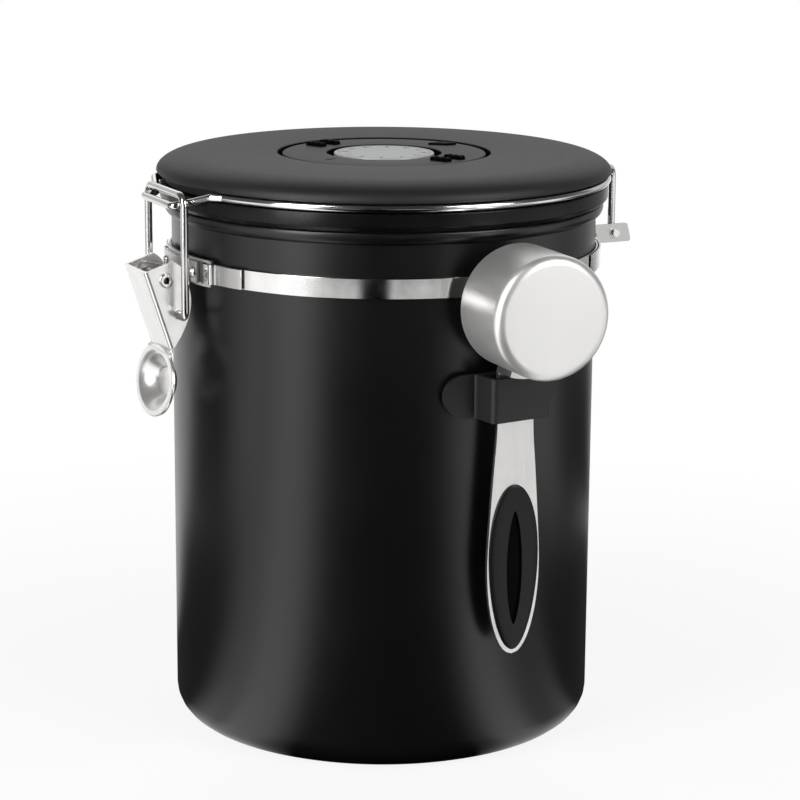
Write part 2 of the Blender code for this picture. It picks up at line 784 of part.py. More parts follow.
def half_wire_path():
    """The +X half of the lid wire, from its hinge end to the middle of the nose."""
    end = hinge_leg_half_width + hinge_end_length
    leave = around(math.pi - hinge_leave_angle, wire_circle, wire_height)
    before = around(math.pi - hinge_leave_angle - wire_step_angle, wire_circle, wire_height)
    out = hinge_leg_half_width + wire_bend_radius
    hinge = [
        Vector((end, hinge_reach, hinge_height)),
        Vector((hinge_leg_half_width, hinge_reach, hinge_height)),
        Vector((hinge_leg_half_width, hinge_reach, wire_height)),
        Vector((out, wire_circle + wire_radius, wire_height)),
        leave, before,
    ]
    small = wire_radius + seat_gap
    path = rounded(hinge, (small, wire_bend_radius, small, wire_bend_radius))[:-1]
    angle = math.pi - hinge_leave_angle - wire_step_angle
    while angle > nose_leave_angle + wire_step_angle / 2:
        path.append(around(angle, wire_circle, wire_height))
        angle -= wire_step_angle
    shoulder_height = nose_height + (nose_reach - nose_shoulder_reach) * nose_slope_share
    start = around(nose_leave_angle, wire_circle, wire_height)
    nose = [
        start,
        around(nose_step_angle, nose_step_reach, wire_height),
        Vector((nose_half_width, -nose_shoulder_reach, shoulder_height)),
        Vector((nose_half_width, -nose_reach, nose_height)),
        Vector((0.0, -nose_reach, nose_height)),
    ]
    path += rounded(nose, (small, wire_bend_radius, small))
    return path


# Strap and brackets


def strap(name, side):
    """Half band from the latch bracket to the hinge bracket, folded back at both ends."""
    layer = can_radius + seat_gap + strap_thickness / 2
    bar = layer + strap_thickness + seat_gap * 2 + bracket_sheet
    tail = layer + strap_thickness + seat_gap
    fold = (layer + bar) / 2
    fold_depth = (bar - layer) / 2

    def folded_end(tail_angle, shift):
        """Azimuths and radii from the tail's tip, over the bracket's bar, to the inner layer."""
        drop_end = strap_bar_end + strap_drop_angle - shift
        count = math.ceil((tail_angle - drop_end) / wire_step_angle)
        spots = [(tail_angle - (tail_angle - drop_end) * step / count, tail) for step in range(count + 1)]
        spots.append((strap_bar_end - shift, bar))
        spots.append((strap_bar_start - strap_bar_lead - shift, bar))
        for step in range(1, arc_facets + 1):
            turn = math.pi * step / (arc_facets + 1)
            lean = fold_depth * math.sin(turn) / layer + shift
            spots.append((strap_fold_angle - lean, fold + fold_depth * math.cos(turn)))
        spots.append((strap_bar_start - strap_bar_lead - shift, layer))
        return spots

    latch_end = folded_end(strap_latch_tail, 0.0)
    back = folded_end(strap_hinge_tail, hinge_fold_shift())
    hinge_end = [(math.pi - angle, radius) for angle, radius in reversed(back)]
    start = latch_end[-1][0]
    finish_angle = hinge_end[0][0]
    steps = round((finish_angle - start) / wire_step_angle)
    middle = [(start + (finish_angle - start) * step / steps, layer) for step in range(1, steps)]
    spots = latch_end + middle + hinge_end
    path = [around(angle * side, radius).to_2d() for angle, radius in spots]
    low = strap_middle - strap_width / 2
    return band(name, path, strap_thickness, low, low + strap_width, "polished_steel")


def arc_path(radius, start, end, step):
    """Plan points along a circle."""
    count = max(1, round(abs(end - start) / step))
    return [around(start + (end - start) * index / count, radius).to_2d() for index in range(count + 1)]


def cut_strap_slots(bracket, azimuth, shift):
    """Cut the two slots through which the strap's folded ends pass."""
    reach = wing_radius
    for side in (-1, 1):
        low = math.sin(wing_slot_start - shift) * reach
        high = math.sin(wing_slot_end - shift) * reach
        across = (low, high) if side > 0 else (-high, -low)
        half = strap_width / 2 + wing_slot_clearance
        outline = box_outline(across[0], across[1], strap_middle - half, strap_middle + half)
        near = -reach - cut_overrun
        far = -reach + cut_overrun * 2
        slot = prism("slot", outline, near, far, turned(azimuth), "polished_steel")
        combine(bracket, slot, "DIFFERENCE")


def latch_bracket():
    """Curved plate on the strap, with a slot at each end for the strap's folds."""
    path = arc_path(wing_radius, -wing_end_angle, wing_end_angle, wire_step_angle / 2)
    low = strap_middle - wing_height / 2
    plate = band("latch_bracket", path, bracket_sheet, low, low + wing_height, "polished_steel")
    cut_strap_slots(plate, 0.0, 0.0)
    for side in (-1, 1):
        angle = side * latch_rivet_offset / wing_radius
        inner = around(angle, wing_radius - cut_overrun, strap_middle)
        outer = around(angle, wing_radius + cut_overrun, strap_middle)
        combine(plate, rod(rivet_radius + fastener_gap, inner, outer), "DIFFERENCE")
    return plate


def ear_radius():
    """Radius of the ear plate's middle surface, outside the latch bracket."""
    return wing_radius + bracket_sheet / 2 + fastener_gap + ear_thickness / 2


def latch_ears():
    """Pressed plate riveted over the bracket, with two ears that carry the lever's pivot."""
    radius = ear_radius()
    flange_angle = math.asin(ear_flange_half_width / radius)
    path = arc_path(radius, -flange_angle, flange_angle, wire_step_angle / 2)
    low = strap_middle - ear_height / 2
    plate = band("latch_ears", path, ear_thickness, low, low + ear_height, "brushed_steel")
    inner_face = lever_half_width - lever_sheet - seat_gap
    eye = (-lever_pivot_reach, lever_pivot_height)
    root = -radius * math.cos(inner_face / radius)
    outline = [(root, eye[1] - ear_root_bottom)]
    outline += arc(eye, ear_eye_radius, ear_eye_radius, -ear_eye_start, -ear_eye_end, 10)
    outline += [(root, eye[1] + ear_root_top)]
    for side in (-1, 1):
        outer = side * inner_face
        inner = side * (inner_face - ear_thickness)
        ear = prism("ear", outline, min(outer, inner), max(outer, inner), sideways, "brushed_steel")
        combine(plate, ear, "UNION")
    pin_low = Vector((-inner_face - cut_overrun, eye[0], eye[1]))
    pin_high = Vector((inner_face + cut_overrun, eye[0], eye[1]))
    combine(plate, rod(lever_pin_radius + fastener_gap, pin_low, pin_high), "DIFFERENCE")
    for side in (-1, 1):
        angle = side * latch_rivet_offset / wing_radius
        inner = around(angle, radius - cut_overrun, strap_middle)
        outer = around(angle, radius + cut_overrun, strap_middle)
        combine(plate, rod(rivet_radius + fastener_gap, inner, outer), "DIFFERENCE")
    return plate


def dome_rivet(name, azimuth, height, inner_radius, outer_radius):
    """A dome-headed rivet whose shank runs between two radii."""
    outline = [(0.0, inner_radius), (rivet_radius, inner_radius)]
    outline += [(rivet_radius, outer_radius + fastener_gap)]
    dome = (0.0, outer_radius + fastener_gap)
    outline += arc(dome, rivet_dome_radius, rivet_dome_height, 0.0, math.pi / 2, fine_arc_facets)[:-1]
    outline += [(0.0, outer_radius + fastener_gap + rivet_dome_height)]
    rivet = lathe(name, outline, "polished_steel", rivet_facets)
    lay = Matrix.Rotation(math.pi / 2, 4, "X")
    rivet.data.transform(Matrix.Translation((0.0, 0.0, height)) @ turned(azimuth) @ lay)
    return rivet


def hinge_lug_middle():
    """Distance from the can's middle plane to the middle of a hinge lug."""
    return hinge_leg_half_width + wire_radius + seat_gap + bracket_sheet / 2


def hinge_bracket_end():
    """Azimuth from +Y at which the hinge bracket ends, at its lugs' outer faces."""
    return math.asin((hinge_lug_middle() + bracket_sheet / 2) / wing_radius)


def hinge_fold_shift():
    """How much nearer to its bracket's middle the strap folds at the hinge than at the latch."""
    return wing_end_angle - hinge_bracket_end()


def hinge_bracket():
    """Curved plate held by the strap at the back, with a lug at each end for the lid wire."""
    radius = wing_radius
    end_angle = hinge_bracket_end()
    path = arc_path(radius, -end_angle, end_angle, wire_step_angle / 2)
    low = strap_middle - wing_height / 2
    high = hinge_bracket_top
    plate = band("hinge_bracket", path, bracket_sheet, low, high, "polished_steel")
    corner = hinge_bracket_corner
    across = math.sin(end_angle) * radius + bracket_sheet
    outline = [(-across, low), (across, low), (across, high - corner), (across - corner, high)]
    outline += [(corner - across, high), (-across, high - corner)]
    trim = prism("outline", outline, -radius - cut_overrun, -radius + cut_overrun * 2, Matrix.Identity(4),
                 "polished_steel")
    combine(plate, trim, "INTERSECT")
    cut_strap_slots(plate, 0.0, hinge_fold_shift())
    plate.data.transform(turned(math.pi))
    root = radius * math.cos(end_angle) - bracket_sheet / 4
    clear = root + bracket_sheet + strap_thickness + seat_gap + hinge_lug_strap_gap
    lug_low = hinge_height - hinge_lug_height / 2
    lug_high = lug_low + hinge_lug_height
    root_high = high - corner
    outline = [(root, root_high - hinge_lug_root_height), (clear, root_high - hinge_lug_root_height)]
    outline += [(clear, lug_low), (hinge_lug_reach, lug_low), (hinge_lug_reach - hinge_lug_slant, lug_high)]
    outline += [(clear, root_high), (root, root_high)]
    for side in (-1, 1):
        near = side * (hinge_lug_middle() - bracket_sheet / 2)
        far = side * (hinge_lug_middle() + bracket_sheet / 2)
        lug = prism("lug", outline, min(near, far), max(near, far), sideways, "polished_steel")
        combine(plate, lug, "UNION")
    start = Vector((-hinge_lug_reach, hinge_reach, hinge_height))
    end = Vector((hinge_lug_reach, hinge_reach, hinge_height))
    combine(plate, rod(wire_radius + fastener_gap, start, end), "DIFFERENCE")
    return plate


# Latch


def latch_lever():
    """Pressed lever: a channel with two cheeks, and a dished thumb pad at its foot."""
    points = [(-lever_pivot_reach - across * lever_length, lever_pivot_height + up * lever_length)
              for across, up in lever_cheek_shares]
    half = lever_half_width
    lever = prism("latch_lever", points, -half, half, sideways, "polished_steel")
    top = Vector(points[0])
    bottom = Vector(points[-1])
    down = (bottom - top).normalized()
    inward = Vector((-down.y, down.x))
    if inward.x < 0.0:
        inward = -inward
    start = top + inward * lever_sheet - down * cut_overrun
    end = bottom + inward * lever_sheet + down * cut_overrun
    depth = inward * lever_half_width * 2
    channel = [start, end, end + depth, start + depth]
    inner_half = half - lever_sheet
    hollow = prism("hollow", channel, -inner_half, inner_half, sideways, "polished_steel")
    combine(lever, hollow, "DIFFERENCE")
    neck_top = top.lerp(bottom, neck_start_share)
    pad_top = pad_frame() @ Vector((0.0, 0.0, pad_half_height * neck_end_share))
    neck_end = Vector((pad_top.y, pad_top.z))
    neck = [neck_top, bottom, neck_end]
    neck += [point + inward * lever_sheet for point in reversed(neck)]
    neck_plate = prism("neck", neck, -neck_half_width, neck_half_width, sideways, "polished_steel")
    combine(lever, neck_plate, "UNION")
    combine(lever, thumb_pad(), "UNION")
    for across, up, radius in (
        (0.0, 0.0, lever_pin_radius + fastener_gap),
        (lever_bail_hole_out, lever_bail_hole_up, wire_radius + fastener_gap),
    ):
        start = Vector((-half - cut_overrun, -lever_pivot_reach - across, lever_pivot_height + up))
        end = Vector((half + cut_overrun, -lever_pivot_reach - across, lever_pivot_height + up))
        combine(lever, rod(radius, start, end), "DIFFERENCE")
    return lever


def thumb_pad():
    """Oval dish with an even sheet thickness, hollow side outward."""
    shape = bmesh.new()
    layers = []
    for sheet in (0.0, lever_sheet):
        rings = []
        for ring in range(1, pad_rings + 1):
            share = ring / pad_rings
            depth = pad_dish_depth * (1.0 - share * share) ** 2 + sheet
            points = []
            for step in range(pad_facets):
                turn = math.tau * step / pad_facets
                across = pad_half_width * share * math.cos(turn)
                up = pad_half_height * share * math.sin(turn)
                points.append(shape.verts.new((across, depth, up)))
            rings.append(points)
        centre = shape.verts.new((0.0, pad_dish_depth + sheet, 0.0))
        for step in range(pad_facets):
            following = (step + 1) % pad_facets
            shape.faces.new((centre, rings[0][step], rings[0][following]))
            for inner, outer in zip(rings, rings[1:]):
                shape.faces.new((inner[step], outer[step], outer[following], inner[following]))
        layers.append(rings[-1])
    for step in range(pad_facets):
        following = (step + 1) % pad_facets
        shape.faces.new((layers[0][step], layers[1][step], layers[1][following], layers[0][following]))
    bmesh.ops.transform(shape, matrix=pad_frame(), verts=shape.verts)
    return node_from("thumb_pad", shape, "polished_steel")


def pad_frame():
    """Placement of the thumb pad, whose own X and Z span its oval."""
    place = Vector((0.0, -lever_pivot_reach - pad_middle_out, lever_pivot_height + pad_middle_up))
    return Matrix.Translation(place) @ Matrix.Rotation(pad_lean, 4, "X")


def latch_pin():
    """Hollow rivet through the lever's cheeks and the bracket's ears."""
    half = lever_half_width + fastener_gap
    end = half + lever_pin_head_thickness
    bore = lever_pin_radius - lever_pin_wall
    head = lever_pin_radius + lever_pin_head_lap
    outline = [(bore, -end), (head, -end), (head, -half)]
    outline += [(lever_pin_radius, -half), (lever_pin_radius, half), (head, half)]
    outline += [(head, end), (bore, end)]
    pin = lathe("latch_pin", outline, "brushed_steel", rivet_facets)
    place = Matrix.Translation((0.0, -lever_pivot_reach, lever_pivot_height))
    pin.data.transform(place @ Matrix.Rotation(math.pi / 2, 4, "Y"))
    return pin


def bail_foot():
    """Centre of the bail's hole in the lever's cheeks."""
    return Vector((0.0, -bail_reach, lever_pivot_height + lever_bail_hole_up))


def latch_bail():
    """Rectangular wire loop from one cheek, over the nose, to the other cheek."""
    foot = bail_foot()
    side_height = nose_height + (nose_reach + foot.y) * nose_slope_share
    top = Vector((0.0, foot.y, side_height + wire_radius * 2 + bail_seat_gap))
    out = Vector((bail_half_width, 0.0, 0.0))
    inner = Vector((bail_half_width - bail_foot_length, 0.0, 0.0))
    points = [foot - inner, foot - out, top - out, top + out, foot + out, foot + inner]
    radii = (bail_foot_bend_radius, bail_bend_radius, bail_bend_radius, bail_foot_bend_radius)
    return wire("latch_bail", rounded(points, radii), wire_radius, "polished_steel")


# Scoop and holder


def stadium(half_length, height, middle):
    """Outline of a bar with half-round ends."""
    radius = height / 2
    straight = half_length - radius
    points = arc((straight, middle), radius, radius, -math.pi / 2, math.pi / 2, 8)
    points += arc((-straight, middle), radius, radius, math.pi / 2, math.pi * 3 / 2, 8)
    return points


def curved_pad(name, inner_radius, thickness, inset, finish_name):
    """A bar-shaped pad with half-round ends, bent round the can."""
    radius = inner_radius + thickness / 2
    half = (holder_half_length + cut_overrun) / radius
    path = [around(scoop_azimuth - half + 2 * half * step / 10, radius).to_2d() for step in range(11)]
    low = holder_middle - holder_height / 2
    pad = band(name, path, thickness, low, low + holder_height, finish_name)
    outline = stadium(holder_half_length - inset, holder_height - inset * 2, holder_middle)
    far = -radius - holder_half_length
    cutter = prism("outline", outline, far, -radius + holder_half_length, turned(scoop_azimuth), finish_name)
    combine(pad, cutter, "INTERSECT")
    return pad


def holder_plate_inner():
    """Radius of the holder's back, outside its foam pad."""
    return can_radius + foam_thickness + seat_gap * 2


def scoop_holder():
    """Moulded holder: a bar on the can's wall with a pocket that the scoop's handle drops through."""
    back = holder_plate_inner()
    holder = curved_pad("scoop_holder", back, holder_plate_thickness, 0.0, "black_matt_plastic")
    slot_half = handle_half_width + holder_slot_clearance
    half = slot_half + holder_wall
    front = -holder_slot_outer - holder_wall
    root = -math.sqrt(back ** 2 - (half + holder_shoulder) ** 2) - holder_plate_thickness / 2
    corner = holder_corner_radius
    right = [(half + holder_shoulder, root)]
    right += arc((half + holder_shoulder, root - holder_shoulder), holder_shoulder, holder_shoulder,
                 math.pi / 2, math.pi, 4)
    right += arc((half - corner, front + corner), corner, corner, 0.0, -math.pi / 2, 4)
    plan = right + [(-across, out) for across, out in reversed(right)]
    low = holder_middle - holder_height / 2
    slot = box_outline(-slot_half, slot_half, -holder_slot_outer, -holder_slot_inner)
    placed = turned(scoop_azimuth) @ upright
    pocket = prism("pocket", plan, low, low + holder_height, placed, "black_matt_plastic")
    combine(holder, pocket, "UNION")
    bottom = low - cut_overrun
    top = low + holder_height + cut_overrun
    combine(holder, prism("slot", slot, bottom, top, placed, "black_matt_plastic"), "DIFFERENCE")
    core = rod(back, Vector((0.0, 0.0, bottom)), Vector((0.0, 0.0, top)), ring_facets)
    combine(holder, core, "DIFFERENCE")
    return holder


def scoop_frame():
    """Placement of the scoop: its own -Y is the cup's axis, outward from the handle's middle."""
    return Matrix.Translation(around(scoop_azimuth, handle_reach)) @ turned(scoop_azimuth + scoop_yaw)


def scoop_cup():
    """Drawn cup with a flat bottom and rounded edge, its mouth towards the can."""
    mouth = cup_mouth_reach - handle_reach
    corner = (cup_radius - cup_corner_radius, mouth + cup_depth - cup_corner_radius)
    inner_corner = cup_corner_radius - cup_wall
    outline = [(0.0, mouth + cup_depth - cup_wall)]
    outline += arc(corner, inner_corner, inner_corner, math.pi / 2, 0.0, fine_arc_facets)
    outline += [(cup_radius - cup_wall, mouth), (cup_radius, mouth)]
    outline += arc(corner, cup_corner_radius, cup_corner_radius, 0.0, math.pi / 2, fine_arc_facets)
    outline += [(0.0, mouth + cup_depth)]
    cup = lathe("scoop_cup", outline, "brushed_steel", cup_facets)
    lay = Matrix.Translation((0.0, 0.0, cup_middle)) @ Matrix.Rotation(math.pi / 2, 4, "X")
    cup.data.transform(scoop_frame() @ lay)
    return cup


def handle_outline():
    """Outline of the handle's blade, wider towards the grip and round at its tip."""
    top = cup_middle - cup_radius - seat_gap - handle_sheet / 2
    length = top - handle_tip_height
    right = [(handle_half_width * wide, top - length * along) for along, wide in handle_station_shares]
    left = [(-across, up) for across, up in reversed(right)]
    return right + [(0.0, handle_tip_height)] + left


def egg(top, bottom, half_width, facets=grip_facets):
    """An oval that is fuller in its upper half."""
    middle = (top + bottom) / 2
    half = (top - bottom) / 2
    points = []
    for step in range(facets):
        turn = math.tau * step / facets
        fullness = 1.0 + grip_egg_share * math.cos(turn)
        points.append((half_width * math.sin(turn) * fullness, middle + half * math.cos(turn)))
    return points


def scoop_handle():
    """Flat steel handle with an oval hole for the grip and a curved tab under the cup."""
    half = handle_sheet / 2
    handle = prism("scoop_handle", handle_outline(), -half, half, scoop_frame(), "brushed_steel")
    gap = fastener_gap - grip_plug_inset
    hole = egg(grip_top_height + gap, grip_bottom_height - gap, grip_plug_half_width + fastener_gap)
    hole_solid = prism("hole", hole, -cut_overrun, cut_overrun, scoop_frame(), "brushed_steel")
    combine(handle, hole_solid, "DIFFERENCE")
    inner = cup_radius + seat_gap
    start = -math.pi / 2 - handle_tab_half_angle
    end = -math.pi / 2 + handle_tab_half_angle
    tab = arc((0.0, cup_middle), inner, inner, start, end, 6)
    tab += arc((0.0, cup_middle), inner + handle_tab_thickness, inner + handle_tab_thickness, end, start, 6)
    tab_solid = prism("tab", tab, -handle_tab_depth, half, scoop_frame(), "brushed_steel")
    combine(handle, tab_solid, "UNION")
    return handle


def scoop_grip():
    """Moulded grip that clamps the blade from both sides, with a long dent in each face."""
    half = grip_thickness / 2
    plate = handle_sheet / 2 + fastener_gap
    grip = prism(
        "scoop_grip", egg(grip_top_height - grip_plug_inset, grip_bottom_height + grip_plug_inset,
                          grip_plug_half_width),
        grip_plug_step - half, half - grip_plug_step, scoop_frame(), "black_matt_plastic",
    )
    face = egg(grip_top_height, grip_bottom_height, grip_half_width)
    for low, high in ((-half, -plate), (plate, half)):
        combine(grip, prism("face", face, low, high, scoop_frame(), "black_matt_plastic"), "UNION")
    dent_middle = (grip_top_height + grip_bottom_height) / 2
    dent_half = grip_length / 2 - grip_slot_inset
    lying = stadium(dent_half, grip_slot_half_width * 2, 0.0)
    dent = [(across, along + dent_middle) for along, across in lying]
    floor = half - grip_slot_depth
    for low, high in ((-half - cut_overrun, -floor), (floor, half + cut_overrun)):
        combine(grip, prism("dent", dent, low, high, scoop_frame(), "black_matt_plastic"), "DIFFERENCE")
    return grip


def build():
    """Build every piece and hang the moving ones on their axes."""
    clear_scene()
    can_body()
    strap("strap_right", 1)
    strap("strap_left", -1)
    latch_bracket()
    latch_ears()
    hinge_bracket()
    rivet_angle = latch_rivet_offset / wing_radius
    ear_face = ear_radius() + ear_thickness / 2
    inner_end = can_radius + seat_gap
    for side, label in ((1, "right"), (-1, "left")):
        dome_rivet(f"latch_rivet_{label}", side * rivet_angle, strap_middle, inner_end, ear_face)
    curved_pad("holder_foam", can_radius + seat_gap, foam_thickness, foam_inset, "grey_foam")
    scoop_holder()

    lid = [lid_pan(), lid_gasket(), lid_cover(), dial_disc(), valve_body(), valve_membrane(), valve_cap()]
    lid += lid_screws() + [lid_wire()]
    ring = date_ring()
    lever = [latch_lever(), latch_pin()]
    bail = latch_bail()
    scoop = [scoop_cup(), scoop_handle(), scoop_grip()]

    carry(lid, "lid_axis", Vector((0.0, hinge_reach, hinge_height)))
    carry([ring], "date_ring_axis", Vector((0.0, 0.0, cover_height)))
    carry(lever, "lever_axis", Vector((0.0, -lever_pivot_reach, lever_pivot_height)))
    carry([bail], "bail_axis", bail_foot())
    carry(scoop, "scoop_rail", around(scoop_azimuth, handle_reach, holder_middle))


build()
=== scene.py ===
import math

import bmesh
import bpy
from bpy.props import FloatProperty, FloatVectorProperty, IntProperty, PointerProperty
from bpy.types import Operator, Panel, PropertyGroup
from mathutils import Matrix, Vector


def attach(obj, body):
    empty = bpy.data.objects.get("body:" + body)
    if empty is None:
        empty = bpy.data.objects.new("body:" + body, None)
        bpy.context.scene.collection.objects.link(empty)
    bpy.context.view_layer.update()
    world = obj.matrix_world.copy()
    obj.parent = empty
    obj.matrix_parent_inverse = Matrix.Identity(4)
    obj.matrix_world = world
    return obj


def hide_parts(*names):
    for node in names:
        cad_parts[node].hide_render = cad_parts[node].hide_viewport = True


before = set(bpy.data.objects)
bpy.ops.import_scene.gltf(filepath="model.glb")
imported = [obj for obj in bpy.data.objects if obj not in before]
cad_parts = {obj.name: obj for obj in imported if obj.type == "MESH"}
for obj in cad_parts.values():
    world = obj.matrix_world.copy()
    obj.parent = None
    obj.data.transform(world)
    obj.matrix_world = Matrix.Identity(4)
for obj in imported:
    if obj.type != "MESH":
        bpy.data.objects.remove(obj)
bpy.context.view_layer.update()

bl_info = {
    "name": "Bail-latch canister",
    "version": (1, 0, 0),
    "blender": (4, 5, 0),
    "location": "3D View > Sidebar > Canister",
    "description": "Fine pieces, finishes and studio for a steel canister with a bail latch and a scoop",
    "category": "Object",
}

MM = 0.001
FULL_TURN = math.tau
RIGHT_ANGLE = math.pi / 2
HALF_TURN = math.pi
# Azimuth of the photograph's camera, from the latch.
PHOTO_TURN = math.radians(64)
# Gap between pieces that move or lie on each other, and the tighter one round rivets and wires.
CLEARANCE = 0.3 * MM
RIVET_CLEARANCE = 0.15 * MM
# How far a cutting tool runs past what it cuts.
CUT_OVERRUN = 2.0 * MM
# Distance below which two vertices are one.
WELD = 0.002 * MM
# Rounding of the edges of pressed sheet.
PRESS_ROUNDING = 0.12 * MM


# Sizes and colours that a user may change


def length(name, default_mm, description):
    """A length property whose default is given in millimetres."""
    return FloatProperty(name=name, description=description, default=default_mm * MM, unit="LENGTH", precision=5)


def angle(name, default_degrees, description):
    """An angle property whose default is given in degrees."""
    return FloatProperty(
        name=name, description=description, default=math.radians(default_degrees), subtype="ANGLE",
    )


def colour(name, hex_value, description):
    """A colour property whose default is an sRGB hex value."""
    return FloatVectorProperty(
        name=name, description=description, default=linear(hex_value), size=4, min=0.0, max=1.0, subtype="COLOR",
    )


def linear(hex_value):
    """Turn an sRGB hex colour into the linear colour that shaders take."""
    channels = [int(hex_value[index:index + 2], 16) / 255 for index in (1, 3, 5)]
    return tuple(c / 12.92 if c <= 0.04045 else ((c + 0.055) / 1.055) ** 2.4 for c in channels) + (1.0,)


class CanSizes(PropertyGroup):
    """Sizes of the drawn can."""
    radius: length("Radius", 62.5, "Outside radius of the can's straight wall")
    wall: length("Wall", 0.7, "Thickness of the sheet")
    corner: length("Bottom corner", 8.0, "Radius between the wall and the base")
    rim_height: length("Rim height", 156.1, "Height of the can's mouth")
    bead_width: length("Bead width", 2.1, "How far the rolled bead stands out")
    bead_drop: length("Bead drop", 3.6, "Height of the bead")
    steps: IntProperty(name="Steps", description="Facets round the can", default=192, min=32, max=512)


class StrapSizes(PropertyGroup):
    """Sizes of the strap and of the two brackets that it holds."""
    middle: length("Middle", 140.4, "Height of the strap's middle line")
    width: length("Width", 5.6, "Width of the strap")
    thickness: length("Thickness", 0.5, "Thickness of the strap")
    plate: length("Plate", 0.8, "Sheet thickness of both brackets")
    plate_height: length("Plate height", 7.6, "Height of both brackets' plates")
    fold_out: length("Fold", 14.07, "Distance along the plate to the outside of the fold")
    bar_out: length("Bar", 15.30, "Distance along the plate to the start of its end bar")
    bar_width: length("Bar width", 1.90, "Width of the plate's end bar")
    step_down: length("Step", 1.56, "Length over which the tail drops off the bar")
    bar_lap: length("Lap", 0.56, "How far the fold starts before the bar")
    latch_tail: angle("Latch tail", 26.0, "Where the folded tail ends at the latch")
    hinge_tail: angle("Hinge tail", 46.0, "Where the folded tail ends at the hinge")


class LidSizes(PropertyGroup):
    """Sizes of the two-part lid."""
    pan_radius: length("Pan radius", 65.9, "Outside radius of the glossy lower half")
    pan_bottom: length("Pan bottom", 156.4, "Height of the skirt's lower edge")
    pan_height: length("Pan top", 161.55, "Height of the skirt's upper edge")
    pan_floor: length("Pan floor", 157.4, "Height of the pan's underside")
    pan_sheet: length("Pan floor sheet", 1.8, "Thickness of the pan's floor")
    cover_radius: length("Cover radius", 66.8, "Outside radius of the matt upper half")
    cover_bottom: length("Cover bottom", 164.35, "Height of the cover's lower edge")
    cover_height: length("Cover top", 169.8, "Height of the flat top")
    cover_flat: length("Flat radius", 55.8, "Radius at which the top starts to round off")
    well_radius: length("Well radius", 31.3, "Radius of the dial's well")
    well_floor: length("Well floor", 165.2, "Height of the well's floor")
    boss_circle: length("Boss circle", 46.0, "Radius of the circle of screw bosses")


class DialSizes(PropertyGroup):
    """Sizes of the date ring and the disc in its middle."""
    ring_radius: length("Ring radius", 29.9, "Outside radius of the date ring")
    ring_bore: length("Ring bore", 16.9, "Radius of the hole round the disc")
    disc_radius: length("Disc radius", 14.7, "Radius of the silver disc")
    drop: length("Drop", 0.25, "How far ring and disc lie below the lid's top")
    grip_circle: length("Grip circle", 24.0, "Radius of the circle of finger grips")
    grip_azimuth: angle("Grip azimuth", -66.4, "Azimuth of the first pair of finger grips")
    grip_gap: length("Grip gap", 6.2, "Distance between the middles of a pair's grips")
    pointer_azimuth: angle("Pointer azimuth", 199.5, "Azimuth of the wedge-shaped pointer")
    index_azimuth: angle("Index azimuth", 20.2, "Azimuth of the index bar")
    numeral_height: length("Numeral height", 2.1, "Height of the printed numerals")
    numeral_circle: length("Numeral circle", 11.6, "Radius of the circle of numerals")


class WireSizes(PropertyGroup):
    """Sizes of the lid wire and of the bail."""
    radius: length("Wire radius", 1.1, "Radius of the wire")
    circle: length("Lid circle", 65.6, "Radius of the wire's ring round the lid")
    height: length("Lid height", 162.95, "Height of the wire's ring")
    hinge_reach: length("Hinge reach", 70.5, "Distance of the hinge from the can's axis")
    hinge_height: length("Hinge height", 143.0, "Height of the hinge")
    hinge_leg: length("Hinge leg", 12.8, "Half the distance between the wire's legs")
    nose_reach: length("Nose reach", 71.1, "Distance of the nose from the can's axis")
    nose_height: length("Nose height", 159.5, "Height of the nose")
    nose_half_width: length("Nose half width", 11.3, "Half the width of the nose")
    bail_reach: length("Bail reach", 68.7, "Distance of the bail from the can's axis")
    bail_top: length("Bail top", 162.45, "Height of the bail's upper bar")
    bail_foot: length("Bail foot", 127.9, "Height of the bail's feet")
    bail_half_width: length("Bail half width", 14.0, "Half the width of the bail")


class LeverSizes(PropertyGroup):
    """Sizes of the pressed lever."""
    pivot_reach: length("Pivot reach", 72.2, "Distance of the pivot from the can's axis")
    pivot_height: length("Pivot height", 138.0, "Height of the pivot")
    half_width: length("Half width", 8.35, "Half the width of the channel")
    sheet: length("Sheet", 0.9, "Thickness of the lever's sheet")
    size: length("Length", 19.9, "Length of the channel, by which its outline is drawn")
    fold_radius: length("Fold radius", 1.1, "Outside radius of the folds between web and cheeks")
    pad_half_width: length("Pad half width", 14.0, "Half the width of the thumb pad")
    pad_half_height: length("Pad half height", 10.4, "Half the height of the thumb pad")
    pad_depth: length("Pad depth", 4.0, "Depth of the pad's dish")
    pad_lean: angle("Pad lean", -9.4, "Lean of the thumb pad")


class ScoopSizes(PropertyGroup):
    """Sizes of the scoop and of its holder."""
    azimuth: angle("Azimuth", 96.0, "Where the scoop hangs round the can, from the latch")
    yaw: angle("Yaw", -8.0, "How far the scoop is turned in its holder")
    reach: length("Reach", 69.2, "Distance of the handle from the can's axis")
    cup_radius: length("Cup radius", 17.3, "Outside radius of the cup")
    cup_depth: length("Cup depth", 22.5, "Outside depth of the cup")
    cup_middle: length("Cup middle", 135.5, "Height of the cup's axis")
    handle_tip: length("Handle tip", 35.0, "Height of the handle's tip")
    handle_half_width: length("Handle half width", 8.1, "Half the handle's greatest width")
    grip_length: length("Grip length", 48.2, "Length of the moulded grip")
    grip_thickness: length("Grip thickness", 2.8, "Thickness of the moulded grip")
    plug_half_width: length("Grip plug", 5.2, "Half the width of the grip's part in the blade's hole")
    holder_middle: length("Holder middle", 109.8, "Height of the holder's middle line")
    holder_height: length("Holder height", 12.4, "Height of the holder")
    holder_half_length: length("Holder half length", 18.8, "Half the length of the holder's back plate")


